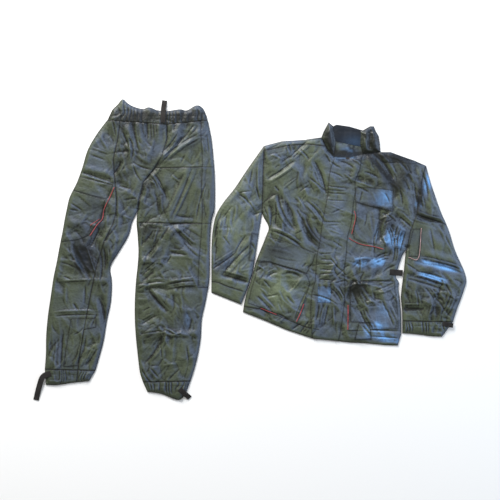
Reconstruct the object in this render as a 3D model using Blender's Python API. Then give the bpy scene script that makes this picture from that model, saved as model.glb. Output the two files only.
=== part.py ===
"""A waterproof jacket and the trousers that go with it, laid flat side by side.

Each garment has its own frame, in millimetres: the trousers' starts at the crotch and the
jacket's at the front edge, at waist height. X runs to the right and Y towards the collar or
the waist, as the set is looked at from above, and Z is up from the surface it lies on.
Left and right are as seen from above.
"""
from collections import namedtuple
import math

import bpy
import numpy as np
from mathutils import Vector
from mathutils.geometry import delaunay_2d_cdt

# Driving dimensions, mm
CLOTH = 1.5  # wall of one layer of cloth
GAP = 0.3  # between pieces that touch
STRAP_CLEAR = 0.9  # between a strap and the crests that it is drawn over
BACK_TOP = CLOTH  # the back panels lie on the surface
UNDER = BACK_TOP + GAP  # lowest place of a front panel's inside
RIM = UNDER + CLOTH  # top of a front panel at a folded or open edge
EDGE_RISE = 4.5  # height gained just inside an edge
EDGE_WIDTH = 14.0
SWELL = 3.0  # further height gained towards the middle of a piece
SWELL_WIDTH = 70.0
STEEP = 2.0  # most that a wall's upright thickness grows on a slope

# Places of the two garments, m
TROUSERS_AT = (-0.4036, 0.1512, 0.0)
JACKET_AT = (0.3056, 0.0, 0.0)

# Colours (linear RGB), roughness, metallic
NYLON = ((0.075, 0.088, 0.086), 0.42, 0.0)
NYLON_BLUE = ((0.082, 0.105, 0.13), 0.40, 0.0)
LINING = ((0.035, 0.045, 0.06), 0.6, 0.0)
PIPING = ((0.42, 0.06, 0.075), 0.5, 0.0)
PALE_PIPING = ((0.45, 0.27, 0.27), 0.5, 0.0)
WEBBING = ((0.018, 0.013, 0.011), 0.8, 0.0)

Section = namedtuple("Section", "left_x left_y right_x right_y")
Fold = namedtuple("Fold", "from_x from_y to_x to_y half_width height")
Point = namedtuple("Point", "x y")

# Trousers: sections across each leg, from the waist seam down to the hem seam. Above the
# crotch their inner ends reach past the centre seam, which trims them.
LEFT_LEG = [
    Section(-104, 324, 115, 310),
    Section(-145, 270, 115, 243),
    Section(-180, 210, 97, 183),
    Section(-200, 145, 68, 133),
    Section(-220, 90, 34, 88),
    Section(-245, 40, 16, 30),
    Section(-256, -5, 2, -5),
    Section(-264, -45, -20, -50),
    Section(-271, -85, -34, -100),
    Section(-283, -145, -68, -158),
    Section(-292, -195, -99, -212),
    Section(-304, -252, -94, -263),
    Section(-314, -320, -97, -335),
    Section(-324, -390, -111, -403),
    Section(-330, -460, -124, -480),
    Section(-331, -525, -140, -540),
    Section(-335, -580, -153, -585),
]
RIGHT_LEG = [
    Section(95, 310, 249, 325),
    Section(95, 247, 264, 252),
    Section(73, 187, 270, 195),
    Section(42, 136, 275, 140),
    Section(7, 92, 277, 86),
    Section(-6, 30, 277, 30),
    Section(-2, -5, 275, -10),
    Section(-5, -50, 265, -45),
    Section(-1, -100, 260, -95),
    Section(2, -158, 258, -151),
    Section(-1, -209, 258, -209),
    Section(-7, -265, 256, -263),
    Section(-11, -335, 245, -331),
    Section(-11, -403, 230, -400),
    Section(-7, -468, 226, -468),
    Section(0, -535, 215, -533),
    Section(7, -590, 200, -590),
    Section(18, -626, 189, -623),
]
CROTCH_ROW = 6  # the first section below which the legs part
WAIST_SEAM = [Point(-110, 315), Point(105, 300), Point(250, 315)]
WAIST_TOP = [
    Point(-92, 353), Point(-72, 373), Point(-55, 391), Point(-36, 376), Point(-14, 364),
    Point(18, 356), Point(40, 362), Point(72, 351), Point(108, 349), Point(151, 355),
    Point(176, 351), Point(211, 369), Point(234, 358), Point(248, 328),
]
LEFT_HEM_SEAM = [Point(-335, -580), Point(-153, -585)]
LEFT_HEM = [Point(-331, -636), Point(-290, -637), Point(-235, -629), Point(-176, -623)]
RIGHT_HEM_SEAM = [Point(18, -626), Point(189, -623)]
RIGHT_HEM = [Point(34, -661), Point(84, -669), Point(146, -691), Point(170, -672)]

# Trousers: seams
CENTRE_SEAM = [
    Point(105, 330), Point(105, 245), Point(86, 185), Point(55, 135), Point(20, 90),
    Point(5, 30), Point(0, -7), Point(-12, -60), Point(-40, -200), Point(-60, -300),
    Point(-60, -800),
]
LEFT_PANEL_SEAM = [
    Point(-60, 330), Point(-72, 245), Point(-88, 173), Point(-83, 108), Point(-76, 25),
    Point(-79, -25), Point(-92, -65), Point(-120, -121), Point(-144, -194),
    Point(-166, -295), Point(-187, -403), Point(-206, -511), Point(-222, -640),
]
THIGH_SEAM = [Point(-60, 146), Point(79, 143), Point(230, 147), Point(320, 148)]
KNEE_SEAM = [Point(-60, -51), Point(0, -53), Point(110, -55), Point(223, -56), Point(320, -56)]

# Trousers: what lies on the panels
CARGO_FLAP = [Point(-260, 128), Point(-208, 111), Point(-90, 82), Point(-112, 31), Point(-260, 72)]
CARGO_POCKET = [
    Point(-290, 75), Point(-230, 61), Point(-118, 27), Point(-122, 12), Point(-129, -14),
    Point(-134, -40), Point(-153, -64), Point(-176, -98), Point(-215, -114), Point(-300, -124),
]
CARGO_PIPING = [
    Point(-84, 74), Point(-104, 30), Point(-114, 10), Point(-122, -12), Point(-127, -40),
    Point(-146, -62), Point(-171, -100),
]
CARGO_PIPING_FORK = [Point(-137, -40), Point(-170, -62)]
SIDE_PLACKET = [
    Point(230, 340), Point(228, 266), Point(234, 158), Point(229, 68), Point(234, -7),
    Point(229, -97), Point(221, -187), Point(217, -284), Point(320, -290), Point(320, 340),
]
LEG_GUSSET = [
    Point(-238, -400), Point(-151, -398), Point(-151, -428), Point(-194, -436),
    Point(-216, -566), Point(-266, -570), Point(-243, -428),
]
HANGING_LOOP = [Point(91, 306), Point(92, 350), Point(96, 387)]
HEM_STRAP = [Point(-312, -594), Point(-340, -606), Point(-354, -640), Point(-367, -691)]
RIGHT_HEM_TAB = [Point(150, -650), Point(187, -684)]

# Trousers: the largest folds, ridges with a height above 0 and troughs below it
TROUSER_FOLDS = [
    Fold(-60, 290, -40, 223, 11, -3.5),
    Fold(-40, 299, -18, 173, 12, 3.5),
    Fold(-18, 302, -7, 252, 11, -3.5),
    Fold(7, 299, 11, 215, 12, 3.5),
    Fold(32, 302, 32, 255, 11, -3.5),
    Fold(72, 299, 76, 238, 12, 3.0),
    Fold(50, 302, 54, 245, 10, -3.0),
    Fold(151, 302, 137, 245, 12, 3.0),
    Fold(200, 306, 180, 255, 12, 3.0),
    Fold(150, 270, 79, 169, 14, 6.0),
    Fold(187, 266, 97, 198, 11, -4.0),
    Fold(228, 276, 92, 180, 14, 6.0),
    Fold(79, 160, 12, 70, 11, -3.5),
    Fold(65, 119, 108, 29, 13, -3.5),
    Fold(191, 142, 140, 22, 17, 5.0),
    Fold(140, 22, 112, -30, 15, 4.0),
    Fold(215, 60, 195, -40, 14, -3.5),
    Fold(100, -62, 215, -62, 13, -4.0),
    Fold(139, -84, 208, -151, 14, -4.5),
    Fold(120, -90, 185, -168, 15, 4.5),
    Fold(76, -122, 20, -178, 13, -4.5),
    Fold(90, -105, 48, -195, 14, 4.0),
    Fold(5, -280, 96, -266, 12, 4.5),
    Fold(96, -266, 212, -262, 12, 4.5),
    Fold(20, -295, 205, -288, 12, -3.5),
    Fold(34, -300, 104, -366, 12, -4.5),
    Fold(60, -296, 125, -355, 13, 4.0),
    Fold(22, -412, 68, -388, 12, -4.0),
    Fold(24, -450, 110, -440, 13, 4.5),
    Fold(105, -446, 205, -452, 13, 4.5),
    Fold(90, -478, 24, -555, 15, -5.0),
    Fold(118, -500, 122, -580, 14, 3.0),
    Fold(26, -585, 70, -628, 11, -3.5),
    Fold(-208, 148, -95, 120, 13, 4.0),
    Fold(-208, 128, -92, 100, 10, -3.5),
    Fold(-88, 118, -58, 172, 11, -4.5),
    Fold(-74, 92, -22, 68, 11, -3.5),
    Fold(-60, 125, -5, 150, 14, 3.5),
    Fold(-118, -58, -168, -138, 12, -4.5),
    Fold(-88, -62, -128, -142, 13, 4.5),
    Fold(-250, -45, -180, -75, 14, 4.0),
    Fold(-245, -95, -205, -60, 12, -3.0),
    Fold(-234, -139, -160, -245, 25, -4.5),
    Fold(-296, -252, -110, -262, 13, 4.5),
    Fold(-120, -170, -104, -240, 13, -4.0),
    Fold(-292, -372, -140, -384, 14, 3.5),
    Fold(-133, -318, -118, -428, 12, -4.0),
    Fold(-300, -470, -296, -570, 16, -3.0),
    Fold(-160, -470, -182, -570, 13, -3.5),
]

# Jacket: sections across the body, from above the shoulders to below the hem. The outline
# and the armholes trim them.
BODY = [
    Section(-272, 460, 350, 350),
    Section(-270, 374, 342, 292),
    Section(-272, 306, 332, 237),
    Section(-274, 216, 316, 152),
    Section(-263, 133, 286, 62),
    Section(-239, 84, 262, 10),
    Section(-248, 50, 243, -18),
    Section(-271, -7, 229, -58),
    Section(-286, -47, 221, -85),
    Section(-296, -88, 219, -99),
    Section(-304, -115, 229, -115),
    Section(-317, -151, 228, -140),
    Section(-326, -187, 232, -175),
    Section(-331, -223, 237, -230),
    Section(-334, -265, 238, -300),
    Section(-337, -305, 240, -360),
]
ARMPIT_ROW = 4
LEFT_SLEEVE = [
    Section(-256, 374, -240, 370),
    Section(-317, 288, -246, 303),
    Section(-360, 223, -247, 246),
    Section(-400, 173, -249, 186),
    Section(-427, 128, -262, 134),
    Section(-439, 79, -272, 76),
    Section(-444, 22, -281, 14),
    Section(-445, -36, -290, -43),
    Section(-445, -86, -299, -94),
    Section(-445, -122, -315, -140),
    Section(-445, -153, -338, -196),
]
RIGHT_SLEEVE = [
    Section(310, 303, 327, 304),
    Section(300, 262, 339, 257),
    Section(280, 200, 358, 200),
    Section(276, 138, 380, 138),
    Section(262, 70, 407, 76),
    Section(256, 10, 428, 8),
    Section(252, -29, 446, -35),
    Section(248, -72, 464, -75),
    Section(243, -112, 472, -112),
    Section(239, -144, 463, -146),
    Section(237, -175, 451, -180),
    Section(241, -216, 437, -217),
    Section(242, -255, 424, -259),
]
SLEEVE_FREE_ROW = 5
RIGHT_CUFF_SEAM = [Point(242, -255), Point(424, -259)]
RIGHT_CUFF_END = [Point(242, -299), Point(300, -304), Point(345, -310), Point(384, -312)]

# Jacket: outline where the sections don't give it
FRONT_TOP = [
    Point(-256, 374), Point(-191, 391), Point(-108, 396), Point(-86, 400), Point(-49, 405),
    Point(-27, 359), Point(-5, 336), Point(47, 333), Point(97, 344), Point(133, 347),
    Point(164, 352), Point(200, 352), Point(252, 333), Point(284, 322), Point(327, 303),
]
BACK_NECK = [Point(-49, 405), Point(0, 392), Point(60, 378), Point(110, 368), Point(164, 352)]
BODY_HEM = [
    Point(-331, -223), Point(-255, -253), Point(-178, -286), Point(-119, -306),
    Point(-75, -320), Point(-18, -325), Point(54, -333), Point(106, -335), Point(180, -342),
    Point(225, -344), Point(238, -302),
]
COLLAR_BACK_TOP = [
    Point(-49, 405), Point(-40, 428), Point(-23, 459), Point(-6, 445), Point(5, 451),
    Point(53, 444), Point(83, 435), Point(100, 430), Point(126, 445), Point(139, 445),
    Point(147, 426), Point(156, 412), Point(160, 389), Point(162, 362), Point(164, 352),
]
COLLAR_LEFT = [
    Point(-48, 403), Point(-39, 427), Point(-23, 457), Point(-7, 444), Point(-1, 418),
    Point(2, 385), Point(0, 360), Point(-4, 340), Point(-26, 361),
]
COLLAR_RIGHT = [
    Point(92, 427), Point(100, 429), Point(126, 444), Point(138, 444), Point(146, 426),
    Point(155, 412), Point(159, 389), Point(161, 362), Point(163, 354), Point(133, 350),
    Point(99, 347), Point(90, 382),
]

# Jacket: seams
LEFT_ARMHOLE = [
    Point(-254, 800), Point(-256, 374), Point(-263, 133), Point(-262, 50), Point(-278, -7),
    Point(-288, -47), Point(-297, -88), Point(-307, -115), Point(-318, -151),
    Point(-333, -196), Point(-345, -260), Point(-345, -800),
]
RIGHT_ARMHOLE = [
    Point(330, 800), Point(327, 303), Point(313, 265), Point(292, 130), Point(270, 65),
    Point(259, 7), Point(247, -30), Point(239, -70), Point(236, -112), Point(233, -144),
    Point(234, -175), Point(239, -225), Point(240, -300), Point(240, -800),
]
ZIP_LINE = [
    Point(48, 400), Point(46, 334), Point(22, 200), Point(5, 100), Point(-5, 0),
    Point(-18, -100), Point(-28, -200), Point(-38, -360),
]
ZIP_HALF = 6.0  # half the width of the zip's tapes that shows between the fronts
LEFT_SHOULDER_SEAM = [
    Point(-400, 350), Point(-257, 356), Point(-162, 376), Point(-97, 380), Point(-36, 374),
    Point(100, 440),
]
RIGHT_SHOULDER_SEAM = [
    Point(-60, 430), Point(136, 350), Point(150, 336), Point(172, 315), Point(225, 314),
    Point(400, 304),
]
LEFT_HEM_BAND_SEAM = [
    Point(-380, -196), Point(-328, -203), Point(-268, -213), Point(-209, -234),
    Point(-151, -259), Point(-108, -277), Point(-60, -286), Point(100, -296),
]
RIGHT_HEM_BAND_SEAM = [Point(-80, -291), Point(50, -290), Point(129, -288), Point(400, -296)]
LEFT_CUFF_SEAM = [
    Point(-480, -110), Point(-446, -113), Point(-418, -118), Point(-388, -131),
    Point(-335, -147), Point(-200, -165),
]
SLEEVE_SEAM = [Point(200, 140), Point(293, 127), Point(351, 108), Point(540, 45)]

# Jacket: what lies on the panels
STORM_FLAP_LEFT = [
    Point(-2, 326), Point(-16, 290), Point(-22, 252), Point(-25, 198), Point(-34, 155),
    Point(-45, 101), Point(-54, 29), Point(-65, -22), Point(-70, -108), Point(-83, -155),
    Point(-88, -209), Point(-86, -263), Point(-77, -350),
]
STORM_FLAP_RIGHT = [
    Point(95, 335), Point(87, 290), Point(70, 248), Point(71, 210), Point(65, 169),
    Point(61, 133), Point(55, 86), Point(43, 47), Point(38, -22), Point(31, -72),
    Point(34, -137), Point(31, -194), Point(22, -270), Point(7, -350),
]
FLAP_SQUARE = [Point(-62, -130), Point(-15, -132), Point(-17, -190), Point(-64, -188)]
CHEST_FLAP = [
    Point(74, 223), Point(121, 223), Point(170, 218), Point(207, 213), Point(205, 139),
    Point(164, 149), Point(117, 160), Point(74, 174),
]
CHEST_POCKET = [
    Point(75, 170), Point(117, 157), Point(157, 147), Point(156, 80), Point(146, 21),
    Point(97, 29), Point(69, 42), Point(65, 60), Point(71, 82), Point(79, 118),
    Point(75, 142),
]
CHEST_PIPING_UPRIGHT = [Point(68, 140), Point(73, 118), Point(65, 82), Point(59, 58)]
CHEST_PIPING_LEVEL = [Point(50, 43), Point(64, 33), Point(95, 20), Point(140, 12), Point(172, 3)]
WAIST_BELT = [
    Point(-300, 60), Point(-246, 49), Point(-181, 30), Point(-119, 7), Point(-72, -12),
    Point(-80, -40), Point(-105, -85), Point(-135, -70), Point(-185, -57), Point(-235, -41),
    Point(-310, -38),
]
POCKET_LEFT = [
    Point(-274, -46), Point(-234, -45), Point(-185, -61), Point(-135, -74), Point(-104, -91),
    Point(-92, -120), Point(-108, -172), Point(-118, -196), Point(-146, -254),
    Point(-208, -229), Point(-264, -207), Point(-312, -190), Point(-300, -140),
    Point(-284, -90),
]
POCKET_LEFT_PIPING = [Point(-113, -194), Point(-122, -220), Point(-139, -257)]
POCKET_LEFT_LOW_PIPING = [Point(-268, -209), Point(-211, -232)]
POCKET_RIGHT = [
    Point(54, -115), Point(144, -117), Point(187, -110), Point(212, -113), Point(213, -140),
    Point(218, -175), Point(224, -230), Point(226, -283), Point(134, -284), Point(126, -260),
    Point(56, -258),
]
POCKET_RIGHT_PIPING = [Point(46, -198), Point(46, -240), Point(45, -286)]
HEM_TAB = [Point(86, -264), Point(121, -264), Point(128, -318), Point(72, -322)]
SLEEVE_PATCH = [Point(281, 74), Point(306, 74), Point(296, -23), Point(266, -22), Point(268, 20)]
SLEEVE_PIPING = [Point(309, 78), Point(299, -28), Point(264, -27)]
WAIST_STRAP = [Point(196, -79), Point(243, -83)]
CUFF_TAB = [Point(386, -264), Point(424, -272)]

# Jacket: the largest folds
JACKET_FOLDS = [
    Fold(-150, 322, -246, 262, 13, -4.0),
    Fold(-140, 300, -240, 240, 16, 4.5),
    Fold(-162, 352, -100, 392, 12, -3.5),
    Fold(-70, 310, -34, 210, 13, -5.0),
    Fold(-95, 320, -62, 215, 15, 4.5),
    Fold(-198, 196, -143, 78, 13, -5.0),
    Fold(-225, 190, -178, 70, 15, 4.0),
    Fold(-114, 110, -78, 30, 15, -6.0),
    Fold(-135, 120, -112, 15, 15, 4.5),
    Fold(-98, 168, -44, 96, 12, 3.5),
    Fold(-256, 350, -262, 150, 11, -3.0),
    Fold(-240, 160, -215, 90, 13, -4.0),
    Fold(-230, 75, -150, 45, 13, 4.0),
    Fold(-180, -95, -150, -150, 15, -4.0),
    Fold(-250, -100, -200, -150, 18, 4.5),
    Fold(-105, -95, -178, -175, 15, 4.5),
    Fold(-255, -155, -225, -205, 13, -3.5),
    Fold(137, 353, 200, 262, 13, -5.0),
    Fold(120, 330, 178, 245, 17, 4.5),
    Fold(90, 330, 60, 245, 13, 4.0),
    Fold(70, 262, 135, 240, 12, -4.0),
    Fold(200, 250, 216, 180, 13, -3.5),
    Fold(240, 270, 262, 160, 18, 4.0),
    Fold(160, 150, 158, 30, 12, -5.0),
    Fold(190, 120, 182, 20, 15, 5.0),
    Fold(215, 130, 260, 75, 12, -4.5),
    Fold(170, -20, 235, 25, 15, 4.5),
    Fold(140, -40, 225, 5, 12, -4.0),
    Fold(60, -40, 160, -35, 22, 5.0),
    Fold(100, -112, 205, -60, 14, -4.0),
    Fold(60, -145, 150, -165, 18, -4.5),
    Fold(165, -150, 195, -215, 14, 4.5),
    Fold(110, -200, 200, -190, 18, 4.0),
    Fold(120, -290, 220, -300, 11, 2.5),
    Fold(30, 190, -10, 130, 16, 2.5),
    Fold(20, 60, -40, 30, 14, 2.5),
    Fold(20, -60, -50, -95, 14, 2.5),
    Fold(-350, -25, -400, -85, 15, -5.0),
    Fold(-330, -60, -375, -110, 14, 4.5),
    Fold(-400, -88, -312, -112, 13, -5.0),
    Fold(-430, 80, -438, -10, 13, -4.5),
    Fold(-405, 110, -425, 20, 17, 4.5),
    Fold(-345, 200, -325, 165, 13, -4.0),
    Fold(-300, 128, -262, 141, 12, -4.0),
    Fold(-320, 250, -330, 120, 18, 4.0),
    Fold(-302, 40, -350, -40, 15, 4.0),
    Fold(-390, 60, -400, -40, 18, 4.0),
    Fold(-285, 215, -268, 170, 12, -3.0),
    Fold(332, 290, 350, 170, 12, 4.0),
    Fold(300, 118, 392, 84, 14, -5.0),
    Fold(330, 60, 390, 10, 18, 3.5),
    Fold(330, -10, 440, -42, 16, 5.0),
    Fold(310, -55, 430, -95, 15, 5.0),
    Fold(320, -28, 445, -68, 12, -4.0),
    Fold(262, -95, 380, -125, 13, -4.0),
    Fold(246, -212, 315, -222, 13, -5.0),
    Fold(330, -150, 345, -235, 16, 4.5),
    Fold(380, -130, 360, -230, 14, -4.0),
    Fold(430, -110, 395, -220, 16, 4.5),
    Fold(275, -130, 290, -195, 15, 4.0),
]
COLLAR_FOLDS = [
    Fold(-22, 450, -22, 372, 20, 10.0),
    Fold(1, 440, -1, 345, 9, -6.0),
    Fold(112, 432, 108, 365, 12, 7.0),
    Fold(125, 430, 122, 365, 9, -6.0),
    Fold(143, 430, 146, 365, 13, 7.0),
]

# Gathers: how many, and how high their crests stand
WAIST_GATHERS = 23
LEFT_HEM_GATHERS = 9
RIGHT_HEM_GATHERS = 9
CUFF_GATHERS = 9
GATHER_HEIGHT = 3.6
STEPS_PER_GATHER = 4

FAR = 2000.0  # how far a trimming outline reaches beyond a seam
LEFT, RIGHT, UP, DOWN = (-1, 0), (1, 0), (0, 1), (0, -1)


def clear_scene():
    for obj in list(bpy.data.objects):
        bpy.data.objects.remove(obj, do_unlink=True)


def smooth(points, steps):
    """A Catmull-Rom curve through the points, with steps intervals between each two."""
    p = np.array(points, float)
    ends = np.vstack([2 * p[0] - p[1], p, 2 * p[-1] - p[-2]])
    out = []
    for i in range(len(p) - 1):
        a, b, c, d = ends[i:i + 4]
        for t in np.arange(steps) / steps:
            out.append(0.5 * (2 * b + (c - a) * t + (2 * a - 5 * b + 4 * c - d) * t**2
                              + (3 * b - a - 3 * c + d) * t**3))
    out.append(p[-1])
    return np.array(out)


def along(points, fractions):
    """Places on a line of straight stretches, at fractions of its length."""
    p = np.array(points, float)
    reach = np.concatenate([[0], np.cumsum(np.linalg.norm(np.diff(p, axis=0), axis=1))])
    at = np.array(fractions) * reach[-1]
    return np.stack([np.interp(at, reach, p[:, k]) for k in (0, 1)], axis=1)


def edge(sections, side, first=0, steps=2):
    """The curve through one end of the sections, from section number first on."""
    ends = [(s.left_x, s.left_y) if side == "left" else (s.right_x, s.right_y) for s in sections]
    return smooth(ends, steps)[first * steps:]


def crowded(count):
    """Places from 0 to 1 that lie closer together towards both ends."""
    t = np.arange(count + 1) / count
    return 0.55 * t + 0.45 * (0.5 - 0.5 * np.cos(math.pi * t))


def distance(points, lines):
    """How far each point is from the nearest of the lines."""
    best = np.full(len(points), 1e9)
    for line in lines:
        line = np.array(line, float)
        for a, b in zip(line[:-1], line[1:]):
            run = b - a
            t = np.clip(((points - a) @ run) / max(run @ run, 1e-9), 0, 1)
            best = np.minimum(best, np.linalg.norm(points - a - t[:, None] * run, axis=1))
    return best


def fold_height(points, fold):
    """A soft ridge or trough along a line, fading out at both ends."""
    a = np.array([fold.from_x, fold.from_y], float)
    run = np.array([fold.to_x, fold.to_y], float) - a
    length = float(np.linalg.norm(run))
    axis = run / length
    offset = points - a
    t = offset @ axis
    across = np.abs(offset @ np.array([-axis[1], axis[0]]))
    fade = min(2.0 * fold.half_width, 0.5 * length)
    ends = np.clip(np.minimum(t + 0.5 * fade, length + 0.5 * fade - t) / fade, 0, 1)
    side = np.clip(across / (1.6 * fold.half_width), 0, 1)
    return fold.height * (ends * ends * (3 - 2 * ends)) * np.cos(0.5 * math.pi * side) ** 2


def relief(points, rims, folds):
    """Height of the cloth's top: low along its rims, swelling inwards, and folded."""
    gap = distance(points, rims)
    near, far = np.clip(gap / EDGE_WIDTH, 0, 1), np.clip(gap / SWELL_WIDTH, 0, 1)
    height = EDGE_RISE * (2 * near - near**2) + SWELL * (2 * far - far**2)
    wave = sum((fold_height(points, f) for f in folds), np.zeros(len(points)))
    return RIM + np.maximum(height + wave * near, 0.12 * height)


class Patch:
    """Facets of cloth seen from above: points (x, y, z) and triangles."""

    def __init__(self, points, triangles):
        self.points = points
        self.triangles = triangles


def ruled(left, right, across, rims, folds, gathers=0):
    """A patch between two curves with as many points, over the given places across."""
    left, right = np.array(left), np.array(right)
    rows, cols = len(left), len(across)
    grid = left[:, None] + across[None, :, None] * (right - left)[:, None]
    flat = grid.reshape(-1, 2)
    z = relief(flat, rims, folds)
    if gathers:
        turn = np.repeat(np.arange(rows) / (rows - 1), cols)
        room = np.clip(distance(flat, rims) / EDGE_WIDTH, 0, 1)
        uneven = 0.7 + 0.3 * np.sin(turn * 37.0)
        z += room * uneven * GATHER_HEIGHT * (0.5 - 0.5 * np.cos(2 * math.pi * gathers * turn))
    triangles = []
    for i in range(rows - 1):
        for j in range(cols - 1):
            a, b = i * cols + j, i * cols + j + 1
            c, d = b + cols, a + cols
            triangles += [(a, c, b), (a, d, c)] if (i + j) % 2 else [(a, d, b), (b, d, c)]
    p = np.column_stack([flat, z])
    first = triangles[0]
    turned = np.cross(p[first[1]] - p[first[0]], p[first[2]] - p[first[0]])[2]
    if turned < 0:
        triangles = [(a, c, b) for a, b, c in triangles]
    return Patch(p, triangles)


def panel(sections, across, rims, folds, steps=2):
    return ruled(edge(sections, "left", 0, steps), edge(sections, "right", 0, steps),
                 across, rims, folds)


def side_of(seam, toward, margin=GAP / 2):
    """The outline of everything on one side of a seam, half a gap away from it."""
    seam, toward = np.array(seam, float), np.array(toward, float)
    return list(seam + toward * margin) + list((seam + toward * FAR)[::-1])


def ribbon(line, width):
    """The outline of a strip of even width along a line."""
    p = np.array(line, float)
    runs = np.diff(p, axis=0)
    runs /= np.linalg.norm(runs, axis=1)[:, None]
    normals = np.column_stack([-runs[:, 1], runs[:, 0]])
    mean = np.vstack([normals[:1], normals[:-1] + normals[1:], normals[-1:]])
    mean /= np.linalg.norm(mean, axis=1)[:, None]
    lean = np.concatenate([[1], np.sum(mean[1:-1] * normals[1:], axis=1), [1]])
    shift = mean * (0.5 * width / lean)[:, None]
    return list(p + shift) + list((p - shift)[::-1])


def cut(patch, outline):
    """The part of a patch inside an outline. New points lie on the patch's own facets."""
    shape = np.array([(q[0], q[1]) for q in outline], float)
    low, high = shape.min(axis=0), shape.max(axis=0)
    near = [t for t in patch.triangles
            if (patch.points[list(t), :2].max(axis=0) >= low).all()
            and (patch.points[list(t), :2].min(axis=0) <= high).all()]
    used = sorted({i for t in near for i in t})
    place = {i: k for k, i in enumerate(used)}
    base = len(used)
    coords = [Vector(patch.points[i, :2]) for i in used] + [Vector(q) for q in shape]
    faces = [[place[i] for i in t] for t in near]
    faces.append(list(range(base, base + len(shape))))
    area = sum(shape[i - 1][0] * shape[i][1] - shape[i][0] * shape[i - 1][1]
               for i in range(len(shape)))
    if area < 0:
        faces[-1].reverse()
    verts, _, tris, _, _, parents = delaunay_2d_cdt(coords, [], faces, 0, 0.02, True)
    outline_face = len(near)
    points, triangles, index = [], [], {}
    for tri, owners in zip(tris, parents):
        cloth = [o for o in owners if o != outline_face]
        if outline_face not in owners or not cloth:
            continue
        a, b, c = (patch.points[i] for i in near[cloth[0]])
        normal = np.cross(b - a, c - a)
        corners = []
        for v in tri:
            if v not in index:
                x, y = verts[v]
                z = a[2] - (normal[0] * (x - a[0]) + normal[1] * (y - a[1])) / normal[2]
                index[v] = len(points)
                points.append((x, y, z))
            corners.append(index[v])
        triangles.append(tuple(corners))
    p = np.array(points)
    for k, (a, b, c) in enumerate(triangles):
        if np.cross(p[b] - p[a], p[c] - p[a])[2] < 0:
            triangles[k] = (a, c, b)
    return Patch(p, triangles)


def rim_loop(patch):
    """The points round the edge of a patch, in order."""
    following = {}
    edges = {(a, b) for t in patch.triangles for a, b in ((t[0], t[1]), (t[1], t[2]), (t[2], t[0]))}
    for a, b in edges:
        if (b, a) not in edges:
            following[a] = b
    start = min(following)
    loop = [start]
    while following[loop[-1]] != start:
        loop.append(following[loop[-1]])
    return loop


def straightened(points, tolerance=0.25):
    """The points of a closed outline without those that lie on a straight stretch."""
    kept = list(points)
    i = 0
    while i < len(kept) and len(kept) > 8:
        a, b, c = (np.array(kept[(i + k) % len(kept)]) for k in (-1, 0, 1))
        run = c - a
        off = abs(run[0] * (b - a)[1] - run[1] * (b - a)[0]) / max(np.linalg.norm(run), 1e-9)
        if off < tolerance and np.linalg.norm(run) < 60:
            del kept[i]
        else:
            i += 1
    return kept


def slopes(patch):
    """How much of each point's facets faces up, from 0 to 1."""
    normals = np.zeros_like(patch.points)
    for a, b, c in patch.triangles:
        n = np.cross(patch.points[b] - patch.points[a], patch.points[c] - patch.points[a])
        for i in (a, b, c):
            normals[i] += n
    return normals[:, 2] / np.linalg.norm(normals, axis=1)


def material(name, look):
    found = bpy.data.materials.get(name)
    if found:
        return found
    made = bpy.data.materials.new(name)
    made.use_nodes = True
    shader = made.node_tree.nodes["Principled BSDF"]
    colour, roughness, metallic = look
    shader.inputs["Base Color"].default_value = (*colour, 1.0)
    shader.inputs["Roughness"].default_value = roughness
    shader.inputs["Metallic"].default_value = metallic
    made.diffuse_color = (*colour, 1.0)
    return made


MATERIALS = {
    "nylon": NYLON, "nylon_blue": NYLON_BLUE, "lining": LINING, "piping": PIPING,
    "pale_piping": PALE_PIPING, "webbing": WEBBING,
}


def add(name, verts, faces, look, garment):
    """One piece as an object of its own, lying in its garment's frame."""
    mesh = bpy.data.meshes.new(name)
    mesh.from_pydata([tuple(0.001 * c for c in v) for v in verts], [], faces)
    mesh.materials.append(material(look, MATERIALS[look]))
    mesh.update()
    obj = bpy.data.objects.new(name, mesh)
    bpy.context.collection.objects.link(obj)
    obj.parent = garment
    return obj


def closed(patch, lower):
    """Points and faces of a body between a patch and the same patch at lower heights."""
    count = len(patch.points)
    under = patch.points.copy()
    under[:, 2] = lower
    verts = list(patch.points) + list(under)
    faces = list(patch.triangles)
    faces += [(a + count, c + count, b + count) for a, b, c in patch.triangles]
    loop = rim_loop(patch)
    for a, b in zip(loop, loop[1:] + loop[:1]):
        faces.append((b, a, a + count, b + count))
    return verts, faces


def wall(name, patch, look, garment):
    """A front panel: one layer of cloth under the patch, above the back panel."""
    lower = patch.points[:, 2] - CLOTH * np.minimum(1 / slopes(patch), STEEP)
    return add(name, *closed(patch, np.maximum(lower, UNDER)), look, garment)


def on_top(name, patch, look, garment, thick=CLOTH, level=0):
    """A piece that lies on a panel, made from the panel's facets moved out."""
    lift = GAP + level * (CLOTH + GAP)
    raised = Patch(patch.points + np.array([0, 0, lift + thick]), patch.triangles)
    return add(name, *closed(raised, patch.points[:, 2] + lift), look, garment)


def flat_back(name, outline, look, garment):
    """A back panel: a flat plate of cloth that lies on the surface."""
    loop = straightened([(q[0], q[1]) for q in outline])
    count = len(loop)
    verts = [(x, y, BACK_TOP) for x, y in loop] + [(x, y, 0) for x, y in loop]
    faces = [tuple(range(count)), tuple(range(2 * count - 1, count - 1, -1))]
    faces += [((i + 1) % count, i, i + count, (i + 1) % count + count) for i in range(count)]
    return add(name, verts, faces, look, garment)


def back_of(name, patch, look, garment):
    return flat_back(name, patch.points[rim_loop(patch)], look, garment)


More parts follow.
